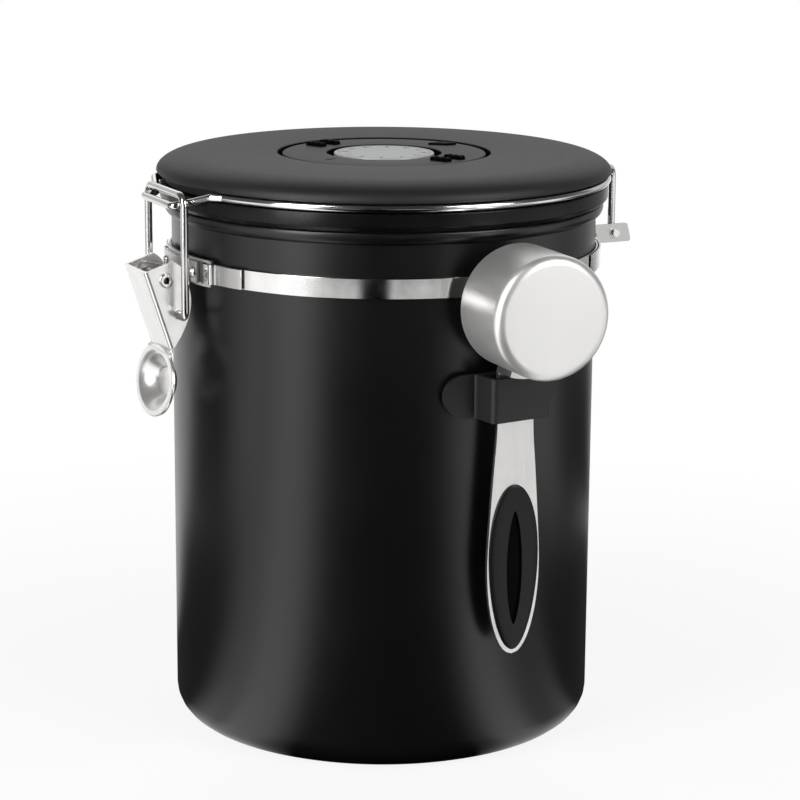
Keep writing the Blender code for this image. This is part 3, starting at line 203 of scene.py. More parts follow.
class FinishColours(PropertyGroup):
    """Colours of the finishes."""
    powder_coat: colour("Powder coat", "#0B0B0C", "Satin black powder coat of the can")
    matt_plastic: colour("Matt plastic", "#171718", "Matt moulded plastic of the cover, ring and holder")
    gloss_plastic: colour("Gloss plastic", "#080809", "Glossy moulded plastic of the pan")
    polished_steel: colour("Polished steel", "#E2E1DF", "Polished stainless steel")
    brushed_steel: colour("Brushed steel", "#DCDBD9", "Brushed stainless steel")
    tumbled_steel: colour("Tumbled steel", "#FAF9F7", "Tumbled stainless steel of the lever")
    satined_steel: colour("Satined steel", "#F4F3F1", "Bead-satined stainless steel of the cup")
    silver_lacquer: colour("Silver lacquer", "#BFC0C1", "Silver lacquer of the disc")
    ink: colour("Ink", "#4A4B4D", "Printed numerals and ticks")
    rolled_steel: colour("Rolled steel", "#CFCFCD", "Dull rolled stainless steel of the brackets")
    # This black is also painted shade: the lid's well wall, the ring's bore and the grip's dent carry it as the
    # shadow in their gaps and recesses.
    black_inserts_and_painted_shade: colour("Deep black", "#050505", "Inlays and finger grips of the dial, and the grip's dent")
    grip: colour("Grip", "#0C0C0D", "Soft moulded grip of the scoop")
    silicone: colour("Silicone", "#DDDCD6", "Milky silicone of the gasket and the valve's membrane")
    foam: colour("Foam", "#6E6E70", "Foam tape behind the scoop's holder")


# Modelling by hand: drawn lines, spins, extrusions and cuts


def add_object(operator, name, **settings):
    """Add an object by its operator, with nothing else selected."""
    bpy.ops.object.select_all(action="DESELECT")
    operator(**settings)
    added = bpy.context.object
    added.name = name
    return added


def start_line(name, place):
    """Begin a mesh as one vertex at a place, and stay in edit mode."""
    piece = add_object(bpy.ops.mesh.primitive_plane_add, name, size=MM)
    piece.data.name = name
    bpy.ops.object.mode_set(mode="EDIT")
    bpy.ops.mesh.select_mode(type="VERT")
    bpy.ops.mesh.select_all(action="SELECT")
    bpy.ops.mesh.merge(type="CENTER")
    bpy.ops.transform.translate(value=Vector(place))
    return piece


def pick(kind, test):
    """Select the vertices, edges or faces whose test is true, in edit mode."""
    bpy.ops.mesh.select_mode(type={"verts": "VERT", "edges": "EDGE", "faces": "FACE"}[kind])
    bpy.ops.mesh.select_all(action="DESELECT")
    mesh = bmesh.from_edit_mesh(bpy.context.object.data)
    mesh.normal_update()
    for element in getattr(mesh, kind):
        if test(element):
            element.select_set(True)
    mesh.select_flush_mode()
    bmesh.update_edit_mesh(bpy.context.object.data)


def draw_line(name, corners, closed=False, steps=8):
    """Draw a line through (place, fillet radius) corners, and round those that have a radius."""
    places = [Vector(place) for place, radius in corners]
    piece = start_line(name, places[0])
    route = places[1:] + (places[:1] if closed else [])
    last = places[0]
    for place in route:
        bpy.ops.mesh.extrude_vertices_move(TRANSFORM_OT_translate={"value": place - last})
        last = place
    if closed:
        bpy.ops.mesh.select_all(action="SELECT")
        bpy.ops.mesh.remove_doubles(threshold=WELD)
    count = len(corners)
    for index, (place, radius) in enumerate(corners):
        if radius:
            spot = places[index]
            pick("verts", lambda vertex: (vertex.co - spot).length < WELD)
            half_angle = (places[index - 1] - spot).angle(places[(index + 1) % count] - spot) / 2
            offset = radius / math.tan(half_angle)
            bpy.ops.mesh.bevel(offset_type="OFFSET", offset=offset, segments=steps, affect="VERTICES")
    return piece


def leave_edit(sharp_degrees=35):
    """Weld, point the faces outwards, leave edit mode and shade the piece by its angles."""
    bpy.ops.mesh.select_mode(type="VERT")
    bpy.ops.mesh.select_all(action="SELECT")
    bpy.ops.mesh.remove_doubles(threshold=WELD)
    bpy.ops.mesh.normals_make_consistent(inside=False)
    bpy.ops.mesh.select_all(action="DESELECT")
    bpy.ops.object.mode_set(mode="OBJECT")
    shade(bpy.context.object, sharp_degrees)
    return bpy.context.object


def shade(piece, sharp_degrees=35):
    """Shade a piece smooth, with its sharper edges kept."""
    choose(piece)
    bpy.ops.object.shade_smooth_by_angle(angle=math.radians(sharp_degrees))


def choose(piece):
    """Make one object the only selected and active one."""
    bpy.ops.object.select_all(action="DESELECT")
    piece.select_set(True)
    bpy.context.view_layer.objects.active = piece


def spin_piece(name, corners, steps=128, closed=False, fillet_steps=6, sharp_degrees=35):
    """Turn a (radius, height, fillet) profile round Z, as on a lathe."""
    draw_line(name, [((radius, 0.0, height), fillet) for radius, height, fillet in corners], closed, fillet_steps)
    bpy.ops.mesh.select_all(action="SELECT")
    bpy.ops.mesh.spin(steps=steps, angle=FULL_TURN, center=(0, 0, 0), axis=(0, 0, 1))
    return leave_edit(sharp_degrees)


def plate_piece(name, corners, reach, steps=8, sharp_degrees=35):
    """Fill a closed outline of (place, fillet) corners and extrude it to a solid."""
    draw_line(name, corners, True, steps)
    bpy.ops.mesh.select_all(action="SELECT")
    bpy.ops.mesh.edge_face_add()
    bpy.ops.mesh.extrude_region_move(TRANSFORM_OT_translate={"value": Vector(reach)})
    return leave_edit(sharp_degrees)


def sheet_piece(name, corners, rise, thickness, steps=8):
    """Draw an open line, raise it to a strip and give the strip its sheet thickness."""
    draw_line(name, corners, False, steps)
    bpy.ops.mesh.select_all(action="SELECT")
    bpy.ops.mesh.extrude_region_move(TRANSFORM_OT_translate={"value": Vector(rise)})
    piece = leave_edit()
    modify(piece, "SOLIDIFY", thickness=thickness, offset=0.0, use_even_offset=True)
    outward(piece)
    return piece


def outward(piece):
    """Point the faces of a closed piece outwards."""
    choose(piece)
    bpy.ops.object.mode_set(mode="EDIT")
    bpy.ops.mesh.select_all(action="SELECT")
    bpy.ops.mesh.normals_make_consistent(inside=False)
    bpy.ops.mesh.select_all(action="DESELECT")
    bpy.ops.object.mode_set(mode="OBJECT")


def modify(piece, kind, **settings):
    """Add a modifier with its settings and apply it."""
    choose(piece)
    modifier = piece.modifiers.new(kind, kind)
    for name, value in settings.items():
        setattr(modifier, name, value)
    bpy.ops.object.modifier_apply(modifier=modifier.name)


def soften(piece, width, segments=2, over_degrees=40, sharp_degrees=35):
    """Round the edges that are sharper than an angle."""
    modify(
        piece, "BEVEL", width=width, segments=segments, limit_method="ANGLE",
        angle_limit=math.radians(over_degrees), use_clamp_overlap=True,
    )
    shade(piece, sharp_degrees)
    modify(piece, "WEIGHTED_NORMAL", weight=100, keep_sharp=True)


def cut(piece, tool, operation="DIFFERENCE"):
    """Cut, join or trim a piece with a tool, and throw the tool away."""
    modify(piece, "BOOLEAN", object=tool, operation=operation, solver="EXACT")
    mesh = tool.data
    bpy.data.objects.remove(tool)
    bpy.data.meshes.remove(mesh)


def drill(piece, radius, start, end, steps=32):
    """Drill a round hole from one point to another."""
    cut(piece, rod(radius, start, end, steps))


def rod(radius, start, end, steps=32):
    """A round rod from one point to another."""
    start, end = Vector(start), Vector(end)
    way = end - start
    return add_object(
        bpy.ops.mesh.primitive_cylinder_add, "rod", vertices=steps, radius=radius, depth=way.length,
        location=(start + end) / 2, rotation=way.to_track_quat("Z", "Y").to_euler(),
    )


def drill_up(piece, radius, place, low, high, steps=24):
    """Drill a round hole upwards at a place, from one height to another."""
    drill(piece, radius, place + Vector((0, 0, low)), place + Vector((0, 0, high)), steps)


def drill_across(piece, radius, half_width, y, z):
    """Drill a round hole from side to side through ears, lugs or cheeks."""
    drill(piece, radius, (-half_width, y, z), (half_width, y, z))


def lay(piece, matrix):
    """Move a piece's mesh to its place, with its object left at the origin."""
    piece.matrix_world = matrix
    choose(piece)
    bpy.ops.object.transform_apply(location=True, rotation=True, scale=True)
    return piece


def unite(name, *pieces):
    """Join pieces to one object."""
    bpy.ops.object.select_all(action="DESELECT")
    for piece in pieces:
        piece.select_set(True)
    bpy.context.view_layer.objects.active = pieces[0]
    bpy.ops.object.join()
    pieces[0].name = name
    return pieces[0]


def wire_piece(name, corners, radius, steps=8):
    """Bend a round wire along a line of corners."""
    piece = draw_line(name, corners, False, steps)
    bpy.ops.object.mode_set(mode="OBJECT")
    choose(piece)
    bpy.ops.object.convert(target="CURVE")
    curve = bpy.context.object.data
    curve.bevel_depth = radius
    curve.bevel_resolution = 6
    curve.use_fill_caps = True
    bpy.ops.object.convert(target="MESH")
    piece = bpy.context.object
    bpy.ops.object.mode_set(mode="EDIT")
    return leave_edit(50)


def hang(piece, body, finish_name, *nodes, slot=None):
    """Give a finished piece its finish, its body and the CAD nodes that it stands for."""
    piece.data.materials.clear()
    piece.data.materials.append(finish(finish_name))
    if nodes:
        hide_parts(*nodes)
    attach(piece, body)
    return piece


def second_finish(piece, finish_name, test):
    """Give the faces whose test is true another finish."""
    piece.data.materials.append(finish(finish_name))
    choose(piece)
    bpy.ops.object.mode_set(mode="EDIT")
    pick("faces", test)
    piece.active_material_index = 1
    bpy.ops.object.material_slot_assign()
    bpy.ops.object.mode_set(mode="OBJECT")


def at(azimuth, radius, height=0.0):
    """Point at an azimuth from the latch, seen from above, anticlockwise."""
    return Vector((radius * math.sin(azimuth), -radius * math.cos(azimuth), height))


def turned(azimuth):
    """Turn that brings the latch side to an azimuth."""
    return Matrix.Rotation(azimuth, 4, "Z")


def rectangle(left, right, low, high):
    """Corners of a rectangle, anticlockwise."""
    return (left, low), (right, low), (right, high), (left, high)


def arc(middle, radii, start, end, steps):
    """Points on an arc round a middle, from one angle to another."""
    turns = [start + (end - start) * step / steps for step in range(steps + 1)]
    return [(middle[0] + radii[0] * math.cos(turn), middle[1] + radii[1] * math.sin(turn)) for turn in turns]


def smooth_through(points, steps=6):
    """Points on a smooth curve through some points."""
    points = [Vector(point) for point in points]
    padded = [points[0] * 2 - points[1]] + points + [points[-1] * 2 - points[-2]]
    curve = []
    for index in range(1, len(padded) - 2):
        before, start, end, after = padded[index - 1:index + 3]
        for step in range(steps):
            t = step / steps
            curve.append((
                start * 2 + (end - before) * t + (before * 2 - start * 5 + end * 4 - after) * t * t
                + (start * 3 - before - end * 3 + after) * t * t * t
            ) / 2)
    curve.append(points[-1])
    return curve


# Finishes


def add_node(tree, kind, settings=None, links=None):
    """Add a node with its settings and the sockets that feed it."""
    node = tree.nodes.new(kind)
    for key, value in (settings or {}).items():
        if isinstance(key, int) or key[0].isupper():
            node.inputs[key].default_value = value
        else:
            setattr(node, key, value)
    for key, source in (links or {}).items():
        tree.links.new(source, node.inputs[key])
    return node


NOISE = "ShaderNodeTexNoise"
CELLS = "ShaderNodeTexVoronoi"
PATTERN_VALUES = {NOISE: "Fac", CELLS: "Distance"}
# Brush lines are about 0.05 mm apart and are drawn at 0.3 mm so that they show.
BRUSH_LINES = (NOISE, 1, 4.0, (3.3, 3.3, 0.12))


def pattern(tree, place, source):
    """Value of a pattern: of a function, or of a kind with its grain in mm, its detail and any squeeze."""
    if callable(source):
        return source(tree, place)
    kind, grain, detail, *squeeze = source
    if squeeze:
        place = add_node(tree, "ShaderNodeMapping", {"Scale": squeeze[0]}, {"Vector": place}).outputs["Vector"]
    texture = add_node(tree, kind, {"Scale": 1 / grain, "Detail": detail}, {"Vector": place})
    return texture.outputs[PATTERN_VALUES[kind]]


def brush_mottle(tree, place):
    """Brush lines, with their cover a little uneven."""
    mottle = pattern(tree, place, (NOISE, 3, 4.0))
    lines = pattern(tree, place, BRUSH_LINES)
    return add_node(tree, "ShaderNodeMath", {"operation": "MULTIPLY_ADD", 1: 0.5}, {0: mottle, 2: lines}).outputs[0]


def turning_rings(tree, place):
    """Fine rings round the cup's axis and along its wall."""
    scoop = bpy.context.scene.scoop_sizes
    middle = (scoop_frame() @ Matrix.Translation((0.0, 0.0, scoop.cup_middle))).translation / MM
    centred = add_node(tree, "ShaderNodeVectorMath", {"operation": "SUBTRACT", 1: middle}, {0: place}).outputs[0]
    turn = (0.0, 0.0, -(scoop.azimuth + scoop.yaw))
    straight = add_node(tree, "ShaderNodeMapping", {"Rotation": turn}, {"Vector": centred}).outputs["Vector"]
    split = add_node(tree, "ShaderNodeSeparateXYZ", None, {0: straight}).outputs
    flat = add_node(tree, "ShaderNodeCombineXYZ", None, {"X": split["X"], "Z": split["Z"]}).outputs[0]
    radius = add_node(tree, "ShaderNodeVectorMath", {"operation": "LENGTH"}, {0: flat}).outputs["Value"]
    rings = add_node(tree, "ShaderNodeCombineXYZ", None, {"X": radius, "Y": split["Y"]}).outputs[0]
    return pattern(tree, rings, (NOISE, 1 / 2.6, 3.0))


# Each finish: its material's name, the shader's sockets, then the pattern and limits of its roughness,
# and the pattern and height in mm of its relief. Its colour has the finish's name in FinishColours.
FINISHES = {
    # Polyester powder coat, baked on: satin black with a faint orange peel, a little uneven in sheen.
    "powder_coat": dict(
        name="satin_powder_coat_black", Roughness=0.3,
        sheen=((NOISE, 28, 3.0), 0.275, 0.32), relief=((NOISE, 1.1, 2.0), 0.006),
    ),
    # Black ABS from a spark-eroded mould: an even matt grain that greys where light grazes it.
    # The real grain is about 0.1 mm and is drawn at 0.4 mm so that it shows.
    "matt_plastic": dict(
        name="matt_moulded_abs_black", Roughness=0.52,
        sheen=((NOISE, 0.4, 3.0), 0.48, 0.58), relief=((NOISE, 0.4, 3.0), 0.012),
    ),
    # Black ABS from a polished mould: glossy, with a slow ripple from shrinkage.
    "gloss_plastic": dict(
        name="gloss_moulded_abs_black", Roughness=0.28, Specular_IOR_Level=0.22,
        sheen=((NOISE, 6, 4.0), 0.25, 0.32), relief=((NOISE, 14, 1.0), 0.04),
    ),
    # Stainless steel, rolled and buffed: nearly a mirror, with faint buffing haze and hairlines.
    "polished_steel": dict(
        name="polished_stainless_steel", Roughness=0.13, Metallic=1.0,
        sheen=((NOISE, 5, 5.0), 0.1, 0.16), relief=((NOISE, 1, 2.0, (0.08, 0.08, 6.0)), 0.0015),
    ),
    # Stainless steel brushed along its length: fine lines that smear reflections across them.
    "brushed_steel": dict(
        name="brushed_stainless_steel", Roughness=0.34, Metallic=1.0,
        sheen=(brush_mottle, 0.29, 0.41, 0.5, 1.0), relief=(BRUSH_LINES, 0.0012),
    ),
    # Stainless sheet as it leaves the rolls and the press: dull, grey and cloudy, with faint rolling marks.
    "rolled_steel": dict(
        name="rolled_stainless_steel", Roughness=0.42, Metallic=1.0,
        sheen=((NOISE, 2.5, 5.0), 0.36, 0.5), relief=((NOISE, 0.4, 3.0), 0.003),
    ),
    # Stainless steel, tumbled after the press: bright and soft, with fine tumbling marks.
    # The marks are about 0.1 mm and are drawn at 0.5 mm so that they show.
    "tumbled_steel": dict(
        name="tumbled_pressed_steel", Roughness=0.24, Metallic=0.85,
        sheen=((NOISE, 4, 5.0), 0.22, 0.27), relief=((NOISE, 0.5, 3.0), 0.0006),
    ),
    # Stainless steel, drawn and bead-satined: soft, even and pale, with rings left by the turning tool.
    "satined_steel": dict(
        name="satin_drawn_steel", Roughness=0.4, Metallic=0.85,
        sheen=((NOISE, 2.5, 5.0), 0.37, 0.45), relief=(turning_rings, 0.003),
    ),
    # Black moulded insert with a fine velvet texture: deep black even where light grazes it. The same finish is
    # painted shade on the well's wall, the ring's bore and the grip's dent, where gaps and recesses lie in shadow.
    "black_inserts_and_painted_shade": dict(
        name="velvet_moulded_abs_black", Roughness=0.55, Specular_IOR_Level=0.04,
        sheen=((NOISE, 1.5, 3.0), 0.5, 0.62),
    ),
    # Plastic disc under silver lacquer: pale grey with fine metal flake.
    "silver_lacquer": dict(
        name="silver_lacquer_on_abs", Roughness=0.42, Metallic=0.35,
        sheen=((CELLS, 0.35, 0.0), 0.34, 0.5, 0.0, 0.8), relief=((CELLS, 0.35, 0.0), 0.004),
    ),
    # Pad-printed ink: flat dark grey with slightly broken cover.
    "ink": dict(name="pad_printed_ink", Roughness=0.6, sheen=((NOISE, 0.3, 2.0), 0.52, 0.68)),
    # Thermoplastic elastomer, moulded: deep black, soft sheen and a fine etched grain.
    "grip": dict(
        name="soft_moulded_elastomer_black", Roughness=0.38, Specular_IOR_Level=0.3,
        sheen=((NOISE, 0.5, 3.0), 0.35, 0.42), relief=((NOISE, 0.5, 3.0), 0.01),
    ),
    # Liquid silicone rubber, moulded: milky, soft-lit from inside, with a satin skin.
    "silicone": dict(
        name="moulded_silicone_milky", Roughness=0.4, Subsurface_Weight=0.3, Subsurface_Scale=1.5 * MM,
        sheen=((NOISE, 1.5, 3.0), 0.34, 0.48), relief=((NOISE, 1.5, 3.0), 0.01),
    ),
    # Closed-cell foam tape: dull grey edge with small pores.
    "foam": dict(
        name="closed_cell_foam_grey", Roughness=0.9,
        sheen=((CELLS, 0.5, 0.0), 0.8, 0.98, 0.0, 0.8), relief=((CELLS, 0.5, 0.0), 0.08),
    ),
}
made_finishes = {}


def make_finish(base, name, sheen, relief=None, **sockets):
    """Make a material whose roughness and relief follow patterns of the place on the object."""
    material = bpy.data.materials.new(name)
    material.use_nodes = True
    tree = material.node_tree
    shader = tree.nodes["Principled BSDF"]
    shader.inputs["Base Color"].default_value = tuple(base)[:3] + (1.0,)
    for socket, value in sockets.items():
        shader.inputs[socket.replace("_", " ")].default_value = value
    place = add_node(tree, "ShaderNodeTexCoord").outputs["Object"]
    place = add_node(tree, "ShaderNodeVectorMath", {"operation": "SCALE", "Scale": 1 / MM}, {0: place}).outputs[0]
    source, low, high, *ends = sheen
    start, end = ends or (0.3, 0.7)
    limits = {"From Min": start, "From Max": end, "To Min": low, "To Max": high}
    spread = add_node(tree, "ShaderNodeMapRange", limits, {"Value": pattern(tree, place, source)})
    tree.links.new(spread.outputs["Result"], shader.inputs["Roughness"])
    if relief:
        source, height = relief
        links = {"Height": pattern(tree, place, source)}
        bump = add_node(tree, "ShaderNodeBump", {"Strength": 1.0, "Distance": height * MM}, links)
        tree.links.new(bump.outputs["Normal"], shader.inputs["Normal"])
    return material


def finish(name):
    """The finish of that name, made once."""
    if name not in made_finishes:
        made_finishes[name] = make_finish(getattr(bpy.context.scene.canister_colours, name), **FINISHES[name])
    return made_finishes[name]


# Pieces on the can


# Radius, height and fillet, in millimetres, of the ring groove stamped in the base.
BASE_GROOVE = ((35.8, 0.0, 0.8), (37.0, 1.0, 0.8), (44.0, 1.0, 0.8), (45.2, 0.0, 0.8))


class CANISTER_OT_can(Operator):
    """Drawn can: stamped base, round corner, straight wall and a rolled bead at the mouth"""
    bl_idname = "canister.can"
    bl_label = "Can"

    def execute(self, context):
        can = context.scene.can_sizes
        inner = can.radius - can.wall
        lip = 0.6 * MM
        curl = arc((can.radius, can.rim_height - 1.1 * MM), (can.bead_width, 2.5 * MM), math.radians(-62), 0.0, 8)
        groove = [(radius * MM, height * MM, fillet * MM) for radius, height, fillet in BASE_GROOVE]
        profile = [(0.0, 0.0, 0.0)] + groove
        profile += [(can.radius, 0.0, can.corner), (can.radius, can.rim_height - can.bead_drop, 0.4 * MM)]
        profile += [(across, up, 0.0) for across, up in curl]
        profile += [(can.radius + can.bead_width, can.rim_height, lip), (inner, can.rim_height, lip)]
        profile += [(inner, can.wall, can.corner - can.wall)]
        profile += [(radius, height + can.wall, fillet) for radius, height, fillet in reversed(groove)]
        profile += [(0.0, can.wall, 0.0)]
        piece = spin_piece("can_shell", profile, can.steps)
        hang(piece, "canister", "powder_coat", "can_body", slot="can_coat")
        return {"FINISHED"}


def plate_radius():
    """Radius of the brackets' middle surface, outside the strap's inner layer."""
    strap = bpy.context.scene.strap_sizes
    return bpy.context.scene.can_sizes.radius + CLEARANCE * 2 + strap.thickness + strap.plate / 2


def hinge_lug_middle():
    """Distance from the middle plane to the middle of a hinge lug."""
    wire = bpy.context.scene.wire_sizes
    return wire.hinge_leg + wire.radius + CLEARANCE + bpy.context.scene.strap_sizes.plate / 2


def hinge_plate_end():
    """Azimuth from the back at which the hinge plate ends."""
    return math.asin((hinge_lug_middle() + bpy.context.scene.strap_sizes.plate / 2) / plate_radius())


LATCH_PLATE_HALF_LENGTH = 16.98 * MM
PLATE_CORNER = 1.6 * MM
SLOT_OUT = 12.40 * MM
SLOT_WIDTH = 2.79 * MM
# Angle between the bends with which the strap follows the can.
STRAP_STEP = math.radians(1.5)


def hinge_shift():
    """How much nearer the strap folds at the hinge than at the latch."""
    return LATCH_PLATE_HALF_LENGTH / plate_radius() - hinge_plate_end()


class CANISTER_OT_straps(Operator):
    """Two half bands of the strap, each folded back over the bracket bars at its ends"""
    bl_idname = "canister.straps"
    bl_label = "Straps"

    def execute(self, context):
        strap = context.scene.strap_sizes
        layer = context.scene.can_sizes.radius + CLEARANCE + strap.thickness / 2
        bar = layer + strap.thickness + CLEARANCE * 2 + strap.plate
        tail = layer + strap.thickness + CLEARANCE
        reach = plate_radius()
        bar_start = (strap.bar_out - strap.bar_lap) / reach
        bar_end = (strap.bar_out + strap.bar_width) / reach

        def folded_end(tail_angle, shift):
            """Azimuths and radii from the tail's tip, over the bar, to the inner layer."""
            drop_end = bar_end + strap.step_down / reach - shift
            count = math.ceil((tail_angle - drop_end) / STRAP_STEP)
            spots = [(tail_angle - (tail_angle - drop_end) * step / count, tail) for step in range(count)]
            for step in range(9):
                blend = 0.5 - 0.5 * math.cos(HALF_TURN * step / 8)
                spots.append((drop_end + (bar_end - shift - drop_end) * step / 8, tail + (bar - tail) * blend))
            for step in range(1, 4):
                spots.append((bar_end - shift + (bar_start - bar_end) * step / 4, bar))
            fold = (layer + bar) / 2
            depth = (bar - layer) / 2
            for step in range(15):
                turn = HALF_TURN * step / 14
                spots.append((bar_start - shift - depth * math.sin(turn) / layer, fold + depth * math.cos(turn)))
            return spots

        latch_end = folded_end(strap.latch_tail, 0.0)
        hinge_end = folded_end(strap.hinge_tail, hinge_shift())
        hinge_end = [(HALF_TURN - turn, radius) for turn, radius in reversed(hinge_end)]
        start, end = latch_end[-1][0], hinge_end[0][0]
        count = round((end - start) / STRAP_STEP)
        middle = [(start + (end - start) * step / count, layer) for step in range(1, count)]
        for name, side in (("right", 1), ("left", -1)):
            low = strap.middle - strap.width / 2
            line = [(at(turn * side, radius, low), 0.0) for turn, radius in latch_end + middle + hinge_end]
            piece = sheet_piece(f"band_{name}", line, (0, 0, strap.width), strap.thickness)
            soften(piece, 0.1 * MM)
            hang(piece, "canister", "polished_steel", f"strap_{name}", slot="polished_steel")
        return {"FINISHED"}


def curved_plate(name, radius, half_angle, low, high, thickness):
    """A plate bent round the can's axis."""
    count = max(8, round(2 * half_angle / math.radians(0.9)))
    line = [(at(half_angle * (2 * step / count - 1), radius, low), 0.0) for step in range(count + 1)]
    return sheet_piece(name, line, (0, 0, high - low), thickness)


def trim_plate(plate, half_length, low, high, low_corner):
    """Trim a bent plate to a rectangle with round corners, seen from the front."""
    front = -plate_radius() - CUT_OVERRUN
    fillets = (low_corner, low_corner, PLATE_CORNER, PLATE_CORNER)
    spots = rectangle(-half_length, half_length, low, high)
    corners = [((x, front, z), fillet) for (x, z), fillet in zip(spots, fillets)]
    cut(plate, plate_piece("outline", corners, (0, CUT_OVERRUN * 3, 0)), "INTERSECT")


def cut_slots(plate, shift):
    """Cut the two slots through which the strap's folded ends pass."""
    strap = bpy.context.scene.strap_sizes
    reach = plate_radius()
    half = strap.width / 2 + CLEARANCE
    for side in (-1, 1):
        near = math.sin(SLOT_OUT / reach - shift) * reach * side
        far = math.sin((SLOT_OUT + SLOT_WIDTH) / reach - shift) * reach * side
        spots = rectangle(near, far, strap.middle - half, strap.middle + half)
        corners = [((x, -reach - CUT_OVERRUN, z), 0.3 * MM) for x, z in spots]
        cut(plate, plate_piece("slot", corners, (0, CUT_OVERRUN * 3, 0), 4))


RIVET_OUT = 10.1 * MM
RIVET_RADIUS = 0.8 * MM
RIVET_HEAD_RADIUS = 1.5 * MM
RIVET_HEAD_HEIGHT = 0.9 * MM
EAR_SHEET = 1.0 * MM
EAR_RADIUS = 3.2 * MM
EAR_PLATE_HALF_LENGTH = 11.8 * MM
EAR_PLATE_HALF_HEIGHT = 3.0 * MM
PIN_HOLE = 1.65 * MM


class CANISTER_OT_latch_bracket(Operator):
    """Latch bracket on the strap, the ear plate riveted over it, and its two rivets"""
    bl_idname = "canister.latch_bracket"
    bl_label = "Latch bracket"

    def execute(self, context):
        strap = context.scene.strap_sizes
        reach = plate_radius()
        ear_reach = reach + strap.plate / 2 + RIVET_CLEARANCE + EAR_SHEET / 2
        plate = self.cut_plate(strap, reach)
        ears = self.press_ears(strap, context.scene.lever_sizes, ear_reach)
        for sheet in (plate, ears):
            for side in (-1, 1):
                turn = RIVET_OUT / reach * side
                inside = at(turn, reach - CUT_OVERRUN, strap.middle)
                outside = at(turn, ear_reach + CUT_OVERRUN, strap.middle)
                drill(sheet, RIVET_RADIUS + RIVET_CLEARANCE, inside, outside)
            soften(sheet, PRESS_ROUNDING)
        hang(plate, "canister", "brushed_steel", "latch_bracket", slot="polished_steel")
        hang(ears, "canister", "brushed_steel", "latch_ears", slot="brushed_steel")
        self.set_rivets(context.scene.can_sizes.radius + CLEARANCE, ear_reach + EAR_SHEET / 2 + RIVET_CLEARANCE)
        return {"FINISHED"}

    def cut_plate(self, strap, reach):
        """The bracket's plate, with round corners and the strap's two slots."""
        turn = LATCH_PLATE_HALF_LENGTH / reach
        low, high = strap.middle - strap.plate_height / 2, strap.middle + strap.plate_height / 2
        plate = curved_plate("latch_plate", reach, turn, low, high, strap.plate)
        trim_plate(plate, math.sin(turn) * reach + strap.plate, low, high, PLATE_CORNER)
        cut_slots(plate, 0.0)
        return plate

    def press_ears(self, strap, lever, ear_reach):
        """The plate over the bracket, with two ears and the hole for the lever's pin."""
        low, high = strap.middle - EAR_PLATE_HALF_HEIGHT, strap.middle + EAR_PLATE_HALF_HEIGHT
        ears = curved_plate(
            "ear_plate", ear_reach, math.asin(EAR_PLATE_HALF_LENGTH / ear_reach), low, high, EAR_SHEET,
        )
        inner_face = lever.half_width - lever.sheet - CLEARANCE
        root = -ear_reach * math.cos(inner_face / ear_reach)
        eye = (-lever.pivot_reach, lever.pivot_height)
        outline = [(root, lever.pivot_height - 4.6 * MM)]
        outline += arc(eye, (EAR_RADIUS, EAR_RADIUS), math.radians(-72), math.radians(-261), 24)
        outline += [(root, lever.pivot_height + 1.2 * MM)]
        for side in (-1, 1):
            corners = [((side * inner_face, y, z), 0.0) for y, z in outline]
            cut(ears, plate_piece("ear", corners, (-side * EAR_SHEET, 0, 0)), "UNION")
        drill_across(ears, PIN_HOLE, inner_face + CUT_OVERRUN, *eye)
        return ears

    def set_rivets(self, inner_end, face):
        """Two round-headed rivets through bracket and ear plate, from their inner ends to the plate's face."""
        dome = arc((0.0, face), (RIVET_HEAD_RADIUS, RIVET_HEAD_HEIGHT), 0.0, RIGHT_ANGLE, 8)
        profile = [(0.0, inner_end, 0.0), (RIVET_RADIUS, inner_end, 0.1 * MM), (RIVET_RADIUS, face, 0.0)]
        profile += [(RIVET_HEAD_RADIUS, face, PRESS_ROUNDING)]
        profile += [(across, up, 0.0) for across, up in dome[1:-1]]
        profile += [(0.0, face + RIVET_HEAD_HEIGHT, 0.0)]
        stand = Matrix.Translation((0, 0, bpy.context.scene.strap_sizes.middle))
        for name, side in (("right", 1), ("left", -1)):
            rivet = spin_piece(f"dome_rivet_{name}", profile, 32)
            lay(rivet, stand @ turned(side * RIVET_OUT / plate_radius()) @ Matrix.Rotation(RIGHT_ANGLE, 4, "X"))
            hang(rivet, "canister", "polished_steel", f"latch_rivet_{name}", slot="polished_steel")


